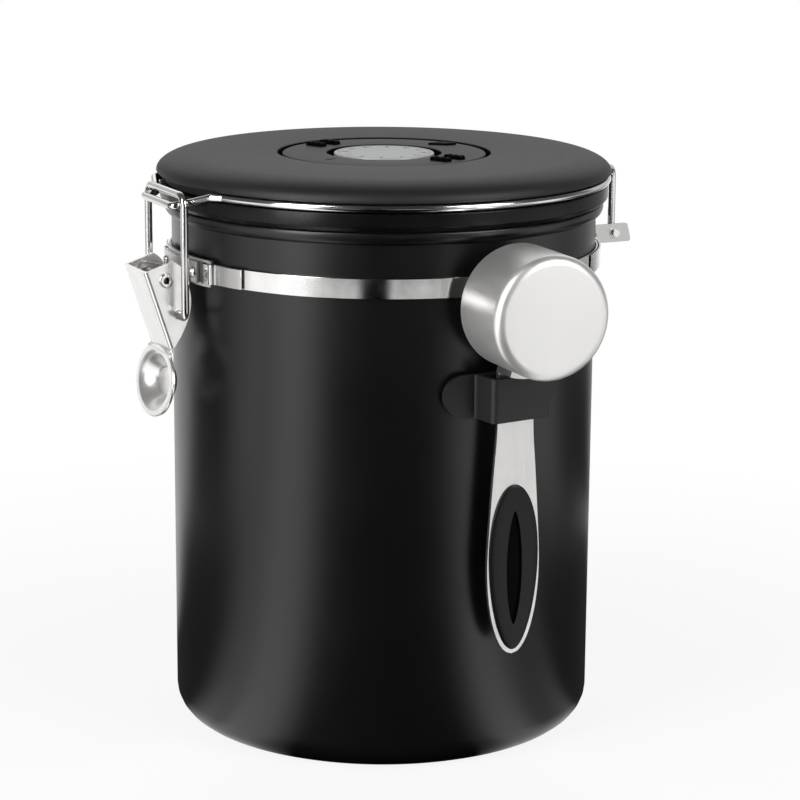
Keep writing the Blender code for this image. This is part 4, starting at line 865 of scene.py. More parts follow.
class CANISTER_OT_hinge_bracket(Operator):
    """Hinge bracket on the strap at the back, with a lug at each end for the lid wire"""
    bl_idname = "canister.hinge_bracket"
    bl_label = "Hinge bracket"

    def execute(self, context):
        strap = context.scene.strap_sizes
        wire = context.scene.wire_sizes
        reach = plate_radius()
        end = hinge_plate_end()
        low = strap.middle - strap.plate_height / 2
        high = strap.middle + 6.6 * MM
        plate = curved_plate("hinge_plate", reach, end, low, high, strap.plate)
        trim_plate(plate, math.sin(end) * reach + strap.plate, low, high, 0.0)
        cut_slots(plate, hinge_shift())
        lay(plate, turned(HALF_TURN))
        root = reach * math.cos(end) - strap.plate / 4
        clear = root + strap.plate + strap.thickness + CLEARANCE + 0.6 * MM
        lug_half_height = 2.8 * MM
        lug_low, lug_high = wire.hinge_height - lug_half_height, wire.hinge_height + lug_half_height
        lug_end = wire.hinge_reach + 5.8 * MM
        lug_corner = 0.8 * MM
        root_high = high - 1.2 * MM
        root_low = root_high - 2.2 * MM
        outline = [
            (root, root_low, 0.0), (clear, root_low, 0.5 * MM), (clear, lug_low, lug_corner),
            (lug_end, lug_low, lug_corner), (lug_end - 1.4 * MM, lug_high, lug_corner), (clear, root_high, 1.5 * MM),
            (root, root_high, 0.0),
        ]
        for side in (-1, 1):
            near = hinge_lug_middle() - strap.plate / 2
            corners = [((side * near, y, z), fillet) for y, z, fillet in outline]
            cut(plate, plate_piece("lug", corners, (side * strap.plate, 0, 0)), "UNION")
        drill_across(plate, wire.radius + RIVET_CLEARANCE, lug_end, wire.hinge_reach, wire.hinge_height)
        soften(plate, PRESS_ROUNDING)
        hang(plate, "canister", "rolled_steel", "hinge_bracket", slot="polished_steel")
        return {"FINISHED"}


class CANISTER_OT_scoop_holder(Operator):
    """Moulded scoop holder on its foam pad: a bar with a pocket that the handle drops through"""
    bl_idname = "canister.scoop_holder"
    bl_label = "Scoop holder"

    def execute(self, context):
        scoop = context.scene.scoop_sizes
        can_radius = context.scene.can_sizes.radius
        foam_thickness, wall, shoulder = 0.6 * MM, 1.3 * MM, 3.0 * MM
        back = can_radius + foam_thickness + CLEARANCE * 2
        foam = self.stuck_pad("foam_pad", can_radius + CLEARANCE, foam_thickness, 0.8 * MM, scoop)
        hang(foam, "canister", "foam", "holder_foam", slot="foam")
        holder = self.stuck_pad("scoop_pocket", back, 1.2 * MM, 0.0, scoop)
        slot_half = scoop.handle_half_width + 0.4 * MM
        slot_inner = can_radius + 3.7 * MM
        slot_outer = slot_inner + 5.8 * MM
        half = slot_half + wall
        foot = half + shoulder
        front = -slot_outer - wall
        root = -math.sqrt(back ** 2 - foot ** 2) - 0.6 * MM
        low = scoop.holder_middle - scoop.holder_height / 2
        right = [
            (foot, root, 0.0), (foot, root - 0.05 * MM, 0.0),
            (half, root - 0.1 * MM, 2.2 * MM), (half, front, 1.8 * MM),
        ]
        plan = right + [(-x, y, fillet) for x, y, fillet in reversed(right)]
        pocket = plate_piece("pocket", [((x, y, low), fillet) for x, y, fillet in plan], (0, 0, scoop.holder_height))
        cut(holder, pocket, "UNION")
        spots = rectangle(-slot_half, slot_half, -slot_outer, -slot_inner)
        corners = [((x, y, low - CUT_OVERRUN), 0.5 * MM) for x, y in spots]
        cut(holder, plate_piece("slot", corners, (0, 0, scoop.holder_height + CUT_OVERRUN * 2), 4))
        drill_up(holder, back, Vector(), low - CUT_OVERRUN, low + scoop.holder_height + CUT_OVERRUN, 256)
        soften(holder, 0.35 * MM, 3)
        lay(holder, turned(scoop.azimuth))
        lay(foam, turned(scoop.azimuth))
        hang(holder, "canister", "matt_plastic", "scoop_holder", slot="matt_plastic")
        return {"FINISHED"}

    def stuck_pad(self, name, inner_radius, thickness, inset, scoop):
        """A bar-shaped pad with half-round ends, bent round the can."""
        radius = inner_radius + thickness / 2
        half_height = scoop.holder_height / 2
        pad = curved_plate(
            name, radius, (scoop.holder_half_length + CUT_OVERRUN) / radius,
            scoop.holder_middle - half_height, scoop.holder_middle + half_height, thickness,
        )
        end_radius = half_height - inset
        straight = scoop.holder_half_length - inset - end_radius
        half_round = arc((straight, 0.0), (end_radius, end_radius), -RIGHT_ANGLE, RIGHT_ANGLE, 24)
        corners = [
            ((side * across, -radius - CUT_OVERRUN, scoop.holder_middle + side * up), 0.0)
            for side in (1, -1) for across, up in half_round
        ]
        cut(pad, plate_piece("outline", corners, (0, CUT_OVERRUN * 5, 0)), "INTERSECT")
        return pad


# Lid


VALVE_HOLE = 6.0 * MM
SCREW_HOLE = 1.4 * MM
SCREW_LENGTH = 5.5 * MM


def screw_places():
    """Places of the lid's three screws."""
    circle = bpy.context.scene.lid_sizes.boss_circle
    return [at(FULL_TURN * (index + 0.5) / 3, circle) for index in range(3)]


class CANISTER_OT_lid_pan(Operator):
    """Glossy lower half of the lid with its silicone gasket"""
    bl_idname = "canister.lid_pan"
    bl_label = "Lid pan"

    def execute(self, context):
        lid = context.scene.lid_sizes
        gasket_radius = 63.3 * MM
        seat_radius = gasket_radius + CLEARANCE
        gasket_top = lid.pan_bottom + 1.7 * MM
        seat_top = gasket_top + CLEARANCE
        wall_inner = 60.0 * MM
        plug = 58.8 * MM
        plug_inner = plug - 1.8 * MM
        plug_bottom = lid.pan_bottom - 2.6 * MM
        floor_top = lid.pan_floor + lid.pan_sheet
        profile = [
            (VALVE_HOLE, floor_top, 0.0), (wall_inner, floor_top, 0.5 * MM), (wall_inner, lid.pan_height, 0.3 * MM),
            (lid.pan_radius, lid.pan_height, 0.4 * MM), (lid.pan_radius, lid.pan_bottom + 1.3 * MM, 0.5 * MM),
            (lid.pan_radius - 1.1 * MM, lid.pan_bottom, 0.3 * MM), (seat_radius, lid.pan_bottom, 0.2 * MM),
            (seat_radius, seat_top, 0.1 * MM), (plug, seat_top, 0.1 * MM), (plug, plug_bottom, 0.7 * MM),
            (plug_inner, plug_bottom, 0.5 * MM), (plug_inner, lid.pan_floor, 0.8 * MM),
            (VALVE_HOLE, lid.pan_floor, 0.0),
        ]
        pan = spin_piece("lid_pan_fine", profile, 192, True)
        for place in screw_places():
            drill_up(pan, SCREW_HOLE, place, lid.pan_floor - CUT_OVERRUN, floor_top + CUT_OVERRUN)
        shade(pan)
        hang(pan, "lid", "gloss_plastic", "lid_pan", slot="gloss_plastic")
        inner = plug + CLEARANCE
        low = lid.pan_bottom
        middle, groove = (inner + gasket_radius) / 2, 0.9 * MM
        profile = [
            (inner, gasket_top, 0.2 * MM), (gasket_radius, gasket_top, 0.2 * MM), (gasket_radius, low, 0.3 * MM),
            (middle + groove, low, 0.3 * MM), (middle, low + 0.6 * MM, 0.4 * MM), (middle - groove, low, 0.3 * MM),
            (inner, low, 0.3 * MM),
        ]
        gasket = spin_piece("seal_ring", profile, 192, True)
        hang(gasket, "lid", "silicone", "lid_gasket", slot="silicone")
        return {"FINISHED"}


class CANISTER_OT_lid_valve(Operator):
    """One-way valve in the pan's floor and the three screws that hold pan and cover together"""
    bl_idname = "canister.lid_valve"
    bl_label = "Valve and screws"

    def execute(self, context):
        lid = context.scene.lid_sizes
        floor = lid.pan_floor
        collar_top = floor + lid.pan_sheet + 2.2 * MM
        web_top, web_low = floor + 0.5 * MM, floor - 0.5 * MM
        bore, collar = 4.6 * MM, 5.85 * MM
        stem_hole = 0.95 * MM
        flange = floor - RIVET_CLEARANCE
        flange_low = flange - 1.2 * MM
        profile = [
            (stem_hole, web_top, 0.0), (bore, web_top, 0.2 * MM), (bore, collar_top, 0.2 * MM),
            (collar, collar_top, 0.2 * MM), (collar, flange, 0.0), (8.5 * MM, flange, 0.2 * MM),
            (7.3 * MM, flange_low, 0.4 * MM), (bore, flange_low, 0.3 * MM),
            (bore, web_low, 0.2 * MM), (stem_hole, web_low, 0.0),
        ]
        housing = spin_piece("valve_housing", profile, 64, True, 4)
        for index in range(4):
            place = at(FULL_TURN * (index + 0.3) / 4, 2.8 * MM)
            drill_up(housing, 0.9 * MM, place, web_low - MM, web_top + MM)
        shade(housing)
        hang(housing, "lid", "matt_plastic", "valve_body", slot="matt_plastic")
        low = web_top + RIVET_CLEARANCE
        under = web_low - RIVET_CLEARANCE
        skirt, stem, foot = 4.2 * MM, 0.8 * MM, under - 1.05 * MM
        profile = [
            (0.0, low + 0.6 * MM, 0.0), (2.4 * MM, low + 0.55 * MM, 1.0 * MM), (skirt, low + 0.3 * MM, 0.1 * MM),
            (skirt, low, 0.1 * MM), (stem, low, 0.1 * MM), (stem, under, 0.0),
            (1.1 * MM, under - 0.15 * MM, 0.1 * MM), (0.4 * MM, foot, 0.2 * MM), (0.0, foot, 0.0),
        ]
        membrane = spin_piece("umbrella", profile, 48, False, 4)
        hang(membrane, "lid", "silicone", "valve_membrane", slot="silicone")
        low = floor + lid.pan_sheet + CLEARANCE
        top = collar_top + RIVET_CLEARANCE
        inner, outer, vent, crown = 6.0 * MM, 7.0 * MM, 1.5 * MM, top + 1.0 * MM
        profile = [
            (inner, low, 0.1 * MM), (outer, low, 0.2 * MM), (outer, crown, 0.7 * MM),
            (vent, crown, 0.2 * MM), (vent, top, 0.1 * MM), (inner, top, 0.2 * MM),
        ]
        cap = spin_piece("valve_lid", profile, 64, True, 4)
        hang(cap, "lid", "matt_plastic", "valve_cap", slot="matt_plastic")
        self.make_screws(floor - RIVET_CLEARANCE)
        return {"FINISHED"}

    def make_screws(self, head_top):
        """Three socket screws, each with a ridge for each turn of its thread."""
        head, thread, core, socket = 2.6 * MM, 1.25 * MM, 1.0 * MM, 1.1 * MM
        pitch = 0.5 * MM
        low = head_top - 1.3 * MM
        tip = head_top + SCREW_LENGTH
        profile = [
            (0.0, low + 0.7 * MM, 0.0), (socket, low + 0.7 * MM, 0.0), (socket, low, 0.08 * MM),
            (head, low, 0.3 * MM), (head, head_top, 0.1 * MM), (thread, head_top, 0.1 * MM),
        ]
        for turn in range(7):
            height = head_top + 0.8 * MM + turn * pitch
            profile += [(thread, height, 0.0), (core, height + pitch / 2, 0.0)]
        profile += [(1.2 * MM, tip - 0.7 * MM, 0.0), (0.6 * MM, tip, 0.1 * MM), (0.0, tip, 0.0)]
        for number, place in enumerate(screw_places(), 1):
            screw = spin_piece(f"socket_screw_{number}", profile, 36, False, 3)
            lay(screw, Matrix.Translation(place))
            hang(screw, "lid", "brushed_steel", f"lid_screw_{number}", slot="brushed_steel")


class CANISTER_OT_lid_cover(Operator):
    """Matt upper half of the lid: low crowned shell with a well for the dial and screw bosses"""
    bl_idname = "canister.lid_cover"
    bl_label = "Lid cover"

    def execute(self, context):
        lid = context.scene.lid_sizes
        wire = context.scene.wire_sizes
        shell = 2.2 * MM
        wall_outer = wire.circle - wire.radius - CLEARANCE
        wall_inner = wall_outer - 2.1 * MM
        wall_low = lid.pan_height + CLEARANCE
        under = lid.cover_height - shell
        floor_low = lid.well_floor - 2.0 * MM
        hub_radius, hub_hole = 13.2 * MM, 2.6 * MM
        hub_top = lid.cover_height - 1.75 * MM
        edge = (lid.cover_flat, lid.cover_bottom + 0.55 * MM)
        edge_radii = (lid.cover_radius - edge[0], lid.cover_height - edge[1])
        profile = [
            (hub_hole, hub_top, 0.0), (hub_radius, hub_top, 0.2 * MM), (hub_radius, lid.well_floor, 0.3 * MM),
            (lid.well_radius, lid.well_floor, 0.4 * MM), (lid.well_radius, lid.cover_height, 0.5 * MM),
        ]
        profile += [(across, up, 0.0) for across, up in arc(edge, edge_radii, RIGHT_ANGLE, 0.0, 16)]
        profile += [
            (lid.cover_radius - 0.5 * MM, lid.cover_bottom, 0.15 * MM), (wall_outer, lid.cover_bottom, 0.2 * MM),
            (wall_outer, wall_low, 0.2 * MM), (wall_inner, wall_low, 0.2 * MM), (wall_inner, under - shell, 0.5 * MM),
            (wall_inner - shell, under, 0.5 * MM), (lid.well_radius + shell, under, 0.3 * MM),
            (lid.well_radius + shell, floor_low, 0.3 * MM), (hub_hole, floor_low, 0.0),
        ]
        cover = spin_piece("lid_cover_fine", profile, 192, True)
        boss_radius = 3.1 * MM
        boss_low = lid.pan_floor + lid.pan_sheet + CLEARANCE
        tip = lid.pan_floor - RIVET_CLEARANCE + SCREW_LENGTH + CLEARANCE
        for place in screw_places():
            foot, head = place + Vector((0, 0, boss_low)), place + Vector((0, 0, under + shell / 2))
            cut(cover, rod(boss_radius, foot, head, 48), "UNION")
            drill_up(cover, SCREW_HOLE, place, boss_low - CUT_OVERRUN, tip)
        shade(cover)
        hang(cover, "lid", "matt_plastic", "lid_cover", slot="matt_plastic")
        # Painted shade: the well's upright wall is made deep black, standing in for the shadow in the gap round the
        # date ring.
        second_finish(cover, "black_inserts_and_painted_shade", lambda face: abs(face.normal.z) < 0.5 and all(
            abs(vertex.co.xy.length - lid.well_radius) < 0.1 * MM for vertex in face.verts
        ))
        return {"FINISHED"}


# Azimuth in degrees, radius and fillet, in millimetres, of the pointer's corners.
POINTER_CORNERS = ((7.0, 21.2, 0.3), (-6.0, 24.6, 0.4), (-7.0, 28.0, 0.4), (4.5, 27.0, 0.4))
# How far the print lies over the disc, and how far the disc's ticks reach.
PRINT_RISE = 0.012 * MM
TICK_CIRCLE = 13.7 * MM


class CANISTER_OT_dial(Operator):
    """Turning date ring with ribbed finger grips, and the silver disc with printed numerals"""
    bl_idname = "canister.dial"
    bl_label = "Date dial"

    def execute(self, context):
        lid = context.scene.lid_sizes
        dial = context.scene.dial_sizes
        low = lid.well_floor + CLEARANCE
        top = lid.cover_height - dial.drop
        step_radius, step_height = 13.7 * MM, low + 1.2 * MM
        profile = [
            (step_radius, low, 0.0), (dial.ring_radius, low, 0.2 * MM), (dial.ring_radius, top, 0.5 * MM),
            (dial.ring_bore, top, 0.3 * MM), (dial.ring_bore, step_height, 0.1 * MM),
            (step_radius, step_height, 0.1 * MM),
        ]
        ring = spin_piece("dial_ring", profile, 160, True)
        hang(ring, "date_ring", "matt_plastic", "date_ring", slot="matt_plastic")
        # Painted shade: the ring's bore and the step inside it are made deep black, standing in for the shadow in the
        # gap round the disc.
        second_finish(ring, "black_inserts_and_painted_shade", lambda face: all(
            vertex.co.xy.length < dial.ring_bore + WELD for vertex in face.verts
        ))
        first = self.make_grip(dial, top)
        grips = []
        for side in (0.0, HALF_TURN):
            for offset in (-dial.grip_gap / 2, dial.grip_gap / 2):
                choose(first)
                bpy.ops.object.duplicate()
                place = Matrix.Translation((offset, -dial.grip_circle, 0))
                grips.append(lay(bpy.context.object, turned(dial.grip_azimuth + side) @ place))
        bpy.data.objects.remove(first)
        hang(unite("dial_grips", *grips), "date_ring", "black_inserts_and_painted_shade", slot="matt_plastic")
        self.make_inlays(dial, top)
        under = top - 1.2 * MM
        peg, peg_low = 2.3 * MM, under - 2.2 * MM
        profile = [
            (0.0, top, 0.0), (dial.disc_radius, top, 0.3 * MM), (dial.disc_radius, under, 0.1 * MM),
            (peg, under, 0.1 * MM), (peg, peg_low, 0.2 * MM), (0.0, peg_low, 0.0),
        ]
        disc = spin_piece("dial_centre", profile, 128)
        hang(disc, "lid", "silver_lacquer", "dial_disc", slot="silver_plastic")
        hang(self.print_marks(dial, top), "lid", "ink", slot="silver_plastic")
        return {"FINISHED"}

    def make_inlays(self, dial, top):
        """Black wedge-shaped pointer that stands on the ring, and a flush index bar in its face."""
        low = top - 0.02 * MM
        corners = [
            (at(math.radians(turn), radius * MM, low), fillet * MM) for turn, radius, fillet in POINTER_CORNERS
        ]
        wedge = plate_piece("wedge", corners, (0, 0, 0.6 * MM))
        soften(wedge, 0.1 * MM)
        lay(wedge, turned(dial.pointer_azimuth))
        half_width, inner, outer = 0.45 * MM, 20.3 * MM, 24.2 * MM
        corners = [((x, y, low), 0.2 * MM) for x, y in rectangle(-half_width, half_width, -outer, -inner)]
        bar = plate_piece("bar", corners, (0, 0, 0.07 * MM))
        lay(bar, turned(dial.index_azimuth))
        hang(unite("dial_inlays", wedge, bar), "date_ring", "black_inserts_and_painted_shade", slot="matt_plastic")

    def make_grip(self, dial, top):
        """One finger grip: a bar that points to the ring's middle, with rounded ribs across its top."""
        size, wide, ribs = 6.4 * MM, 2.2 * MM, 3
        rib, gap, rib_height = size / ribs, 0.12 * MM, 0.5 * MM
        side_top = top + 0.65 * MM
        line = [(-size / 2, top - 0.2 * MM), (-size / 2, top + 0.5 * MM)]
        for index in range(ribs):
            middle = (-size / 2 + rib * (index + 0.5), side_top)
            line += arc(middle, (rib / 2 - gap, rib_height), HALF_TURN, 0.0, 8)
        line += [(size / 2, top + 0.5 * MM), (size / 2, top - 0.2 * MM)]
        grip = plate_piece("grip", [((-wide / 2, y, z), 0.0) for y, z in line], (wide, 0, 0))
        soften(grip, 0.15 * MM)
        return grip

    def print_marks(self, dial, top):
        """Numerals 1 to 12 and a ring of ticks, printed on the disc."""
        marks = []
        for number in range(12):
            turn = FULL_TURN * number / 12
            text = add_object(bpy.ops.object.text_add, "numeral")
            text.data.body = str(number + 1)
            text.data.size = dial.numeral_height * 1.35
            text.data.align_x = text.data.align_y = "CENTER"
            text.data.extrude = 0.01 * MM
            bpy.ops.object.convert(target="MESH")
            place = Matrix.Translation((0, -dial.numeral_circle, top + PRINT_RISE))
            marks.append(lay(bpy.context.object, turned(turn) @ place))
        for tick in range(60):
            turn = FULL_TURN * tick / 60
            size = 0.9 * MM if tick % 5 == 0 else 0.5 * MM
            mark = add_object(bpy.ops.mesh.primitive_cube_add, "tick", size=1)
            place = Matrix.Translation((0, size / 2 - TICK_CIRCLE, top + PRINT_RISE))
            marks.append(lay(mark, turned(turn) @ place @ Matrix.Diagonal((0.16 * MM, size, 0.02 * MM, 1.0))))
        return unite("disc_print", *marks)


class CANISTER_OT_lid_wire(Operator):
    """Lid wire: out of one hinge lug, up, round the lid past the nose, and down to the other lug"""
    bl_idname = "canister.lid_wire"
    bl_label = "Lid wire"

    def execute(self, context):
        wire = context.scene.wire_sizes
        leave = math.radians(20)
        nose_leave = math.radians(21.5)
        tight = wire.radius + CLEARANCE
        bend = 3.0 * MM
        shoulder = 66.9 * MM
        shoulder_height = wire.nose_height + (wire.nose_reach - shoulder) * 0.15
        half = [
            (Vector((wire.hinge_leg + 3.4 * MM, wire.hinge_reach, wire.hinge_height)), 0.0),
            (Vector((wire.hinge_leg, wire.hinge_reach, wire.hinge_height)), tight),
            (Vector((wire.hinge_leg, wire.hinge_reach, wire.height)), bend),
            (Vector((wire.hinge_leg + bend, wire.circle + wire.radius, wire.height)), tight),
            (at(HALF_TURN - leave, wire.circle, wire.height), bend),
        ]
        count = 96
        start = HALF_TURN - leave - math.radians(4)
        end = nose_leave + math.radians(2)
        for step in range(count + 1):
            half.append((at(start + (end - start) * step / count, wire.circle, wire.height), 0.0))
        half += [
            (at(nose_leave, wire.circle, wire.height), tight),
            (at(math.radians(18.5), wire.circle + 1.7 * MM, wire.height), tight),
            (Vector((wire.nose_half_width, -shoulder, shoulder_height)), bend),
            (Vector((wire.nose_half_width, -wire.nose_reach, wire.nose_height)), tight),
        ]
        mirrored = [(Vector((-place.x, place.y, place.z)), fillet) for place, fillet in reversed(half)]
        piece = wire_piece("lid_wire_fine", half + mirrored, wire.radius)
        hang(piece, "lid", "polished_steel", "lid_wire", slot="polished_steel")
        return {"FINISHED"}


# Latch

# Outline of a cheek, as shares of the lever's length outwards and upwards from its pivot.
CHEEK_SHARES = (
    (0.322, 0.126), (-0.116, 0.271), (-0.246, 0.166), (-0.332, -0.040), (-0.382, -0.307),
    (-0.342, -0.563), (-0.231, -0.809), (-0.116, -0.990), (-0.050, -1.000),
)
# Share of the pad's radius inside its flat rim, and the dish wall's share.
PAD_RIM = 0.86
PAD_WALL = 0.5
# Where the pad's middle lies from the pivot, outwards and downwards.
PAD_OUT = 0.9 * MM
PAD_DROP = 30.2 * MM


class CANISTER_OT_lever(Operator):
    """Pressed lever: channel, neck and dished thumb pad, with the hollow rivet it turns on"""
    bl_idname = "canister.lever"
    bl_label = "Latch lever"

    def execute(self, context):
        lever = context.scene.lever_sizes
        wire = context.scene.wire_sizes
        channel = self.press_channel(lever)
        over = lever.half_width + CUT_OVERRUN
        drill_across(channel, PIN_HOLE, over, -lever.pivot_reach, lever.pivot_height)
        drill_across(channel, wire.radius + RIVET_CLEARANCE, over, -wire.bail_reach, wire.bail_foot)
        soften(channel, PRESS_ROUNDING)
        piece = unite("pressed_lever", channel, self.press_pad(lever))
        hang(piece, "latch_lever", "tumbled_steel", "latch_lever", slot="polished_steel")
        self.make_pin(lever)
        return {"FINISHED"}

    def cheek_outline(self, lever):
        """Outline of a cheek, seen from the side, in metres."""
        points = [
            Vector((-lever.pivot_reach - out * lever.size, lever.pivot_height + up * lever.size))
            for out, up in CHEEK_SHARES
        ]
        return [points[0]] + smooth_through(points[1:-1], 5) + [points[-1]]

    def web(self, lever):
        """The web seen from the side: its top, its foot, the way down it and the way inwards from it."""
        outline = self.cheek_outline(lever)
        top, foot = outline[0], outline[-1]
        down = (foot - top).normalized()
        return top, foot, down, Vector((-down.y, down.x))

    def press_channel(self, lever):
        """Extrude the cheek's outline across, round the web's folds, open the back and give it its sheet."""
        half = lever.half_width
        draw_line("channel", [((-half, point.x, point.y), 0.0) for point in self.cheek_outline(lever)], True)
        bpy.ops.mesh.select_all(action="SELECT")
        bpy.ops.mesh.edge_face_add()
        bpy.ops.mesh.extrude_region_move(TRANSFORM_OT_translate={"value": (half * 2, 0, 0)})
        bpy.ops.mesh.select_all(action="SELECT")
        bpy.ops.mesh.normals_make_consistent(inside=False)
        inward = self.web(lever)[3]
        web_normal = Vector((0.0, -inward.x, -inward.y))
        pick("faces", lambda face: abs(face.normal.x) < 0.5 and face.normal.dot(web_normal) < 0.999)
        bpy.ops.mesh.delete(type="FACE")
        pick("edges", lambda edge: len(edge.link_faces) == 2)
        bpy.ops.mesh.bevel(offset=lever.fold_radius, segments=5, affect="EDGES")
        piece = leave_edit(50)
        modify(piece, "SOLIDIFY", thickness=lever.sheet, offset=-1.0, use_even_offset=True)
        outward(piece)
        return piece

    def pad_frame(self, lever):
        """Placement of the thumb pad, whose own X and Z span its oval."""
        place = Vector((0.0, -lever.pivot_reach - PAD_OUT, lever.pivot_height - PAD_DROP))
        return Matrix.Translation(place) @ Matrix.Rotation(lever.pad_lean, 4, "X")

    def press_pad(self, lever):
        """Oval pad pressed to a dish, and the neck that joins it to the web."""
        pad = add_object(bpy.ops.mesh.primitive_circle_add, "pad", vertices=96, radius=1.0)
        oval = Matrix.Diagonal((lever.pad_half_width, lever.pad_half_height, lever.pad_half_height, 1.0))
        lay(pad, oval @ Matrix.Rotation(RIGHT_ANGLE, 4, "X"))
        choose(pad)
        bpy.ops.object.mode_set(mode="EDIT")
        bpy.ops.mesh.select_all(action="SELECT")
        share_before, depth_before = 1.0, 0.0
        for step in range(1, 25):
            share = 1.0 - step / 25
            depth = lever.pad_depth * self.dish_depth(share)
            narrower = share / share_before
            bpy.ops.mesh.extrude_edges_move(TRANSFORM_OT_translate={"value": (0, depth - depth_before, 0)})
            bpy.ops.transform.resize(value=(narrower, 1.0, narrower), center_override=(0, depth, 0))
            share_before, depth_before = share, depth
        bpy.ops.mesh.extrude_edges_move(TRANSFORM_OT_translate={"value": (0, lever.pad_depth - depth_before, 0)})
        bpy.ops.mesh.merge(type="CENTER")
        leave_edit(60)
        pad.matrix_world = self.pad_frame(lever)
        choose(pad)
        bpy.ops.object.transform_apply()
        neck = self.press_neck(lever)
        half_sheet = self.pad_frame(lever).to_3x3() @ Vector((0, lever.sheet / 2, 0))
        for sheet, shift in ((pad, half_sheet), (neck, Vector())):
            modify(sheet, "SOLIDIFY", thickness=lever.sheet, offset=0.0, use_even_offset=True)
            outward(sheet)
            lay(sheet, Matrix.Translation(shift))
            soften(sheet, 0.2 * MM, 3, 60, 50)
        return unite("pad", pad, neck)

    def dish_depth(self, share):
        """Share of the dish's depth at a share of the pad's radius: a flat rim, a round wall and a flat floor."""
        if share > PAD_RIM:
            return 0.0
        along = (PAD_RIM - share) / PAD_WALL
        if along > 1.0:
            return 1.0
        return along * along * (3.0 - 2.0 * along)

    def press_neck(self, lever):
        """Curved strip from the web's foot to the pad's upper edge."""
        top, foot, down, inward = self.web(lever)
        half = 7.4 * MM
        middle = inward * lever.sheet / 2
        tucked = middle + inward * 0.08 * MM
        route = [top.lerp(foot, 0.84) + tucked, top.lerp(foot, 0.94) + tucked, foot + middle + down * 0.8 * MM]
        for share in (PAD_RIM, 0.80):
            place = self.pad_frame(lever) @ Vector((0.0, lever.sheet / 2, lever.pad_half_height * share))
            route.append(Vector((place.y, place.z)))
        line = smooth_through(route, 6)
        draw_line("neck", [((-half, point.x, point.y), 0.0) for point in line])
        bpy.ops.mesh.select_all(action="SELECT")
        bpy.ops.mesh.extrude_region_move(TRANSFORM_OT_translate={"value": (half * 2, 0, 0)})
        low, high = line[-1].y, line[0].y
        for step in range(5, 9):
            level = high + (low - high) * step / 8
            pick("verts", lambda vertex: vertex.co.z <= level + WELD)
            bpy.ops.transform.resize(value=(1.0 + 0.018 * (step - 4), 1.0, 1.0), center_override=(0, 0, 0))
        return leave_edit(60)

    def make_pin(self, lever):
        """Hollow rivet with rolled heads."""
        half = lever.half_width + RIVET_CLEARANCE
        end = half + 0.4 * MM
        bore, shank, head = 0.9 * MM, 1.5 * MM, 2.1 * MM
        profile = [
            (bore, -end, 0.15 * MM), (head, -end, 0.25 * MM), (head, -half, 0.1 * MM), (shank, -half, 0.0),
            (shank, half, 0.0), (head, half, 0.1 * MM), (head, end, 0.25 * MM), (bore, end, 0.15 * MM),
        ]
        pin = spin_piece("hollow_rivet", profile, 48, True, 4)
        stand = Matrix.Translation((0, -lever.pivot_reach, lever.pivot_height)) @ Matrix.Rotation(RIGHT_ANGLE, 4, "Y")
        lay(pin, stand)
        hang(pin, "latch_lever", "polished_steel", "latch_pin", slot="brushed_steel")


class CANISTER_OT_bail(Operator):
    """Rectangular wire bail from one cheek of the lever, over the nose, to the other cheek"""
    bl_idname = "canister.bail"
    bl_label = "Latch bail"

    def execute(self, context):
        wire = context.scene.wire_sizes
        foot = 7.0 * MM
        corners = []
        for side in (1, -1):
            leg = [
                ((side * foot, -wire.bail_reach, wire.bail_foot), 0.0),
                ((side * wire.bail_half_width, -wire.bail_reach, wire.bail_foot), 2.2 * MM),
                ((side * wire.bail_half_width, -wire.bail_reach, wire.bail_top), 3.4 * MM),
            ]
            corners += leg if side > 0 else list(reversed(leg))
        piece = wire_piece("bail_wire", corners, wire.radius, 12)
        hang(piece, "latch_bail", "polished_steel", "latch_bail", slot="polished_steel")
        return {"FINISHED"}


# Scoop


def scoop_frame():
    """Placement of the scoop: its own -Y is the cup's axis, outward from the handle's middle."""
    scoop = bpy.context.scene.scoop_sizes
    return Matrix.Translation(at(scoop.azimuth, scoop.reach)) @ turned(scoop.azimuth + scoop.yaw)


# Half outline of the handle: shares of its length downwards, and of its greatest half width.
HANDLE_SHARES = (
    (0.00, 0.69), (0.20, 0.69), (0.35, 0.80), (0.49, 0.90), (0.60, 0.97), (0.68, 1.00),
    (0.76, 0.97), (0.84, 0.87), (0.91, 0.70), (0.96, 0.49), (0.99, 0.25), (1.00, 0.0),
)
# Half the angle over which the handle's tab follows the cup.
TAB_HALF_ANGLE = math.radians(17)
# Depth, half width and half height of the dents in the grip.
DENT_DEPTH, DENT_HALF_WIDTH, DENT_HALF_HEIGHT = 0.9 * MM, 2.4 * MM, 16.6 * MM
# Inset in millimetres, and share of the rise, of each ring with which the grip's faces are drawn in.
DOME_RINGS = ((0.12, 0.5), (0.35, 0.68), (0.7, 0.82), (1.2, 0.92), (1.9, 0.98), (2.6, 1.0))


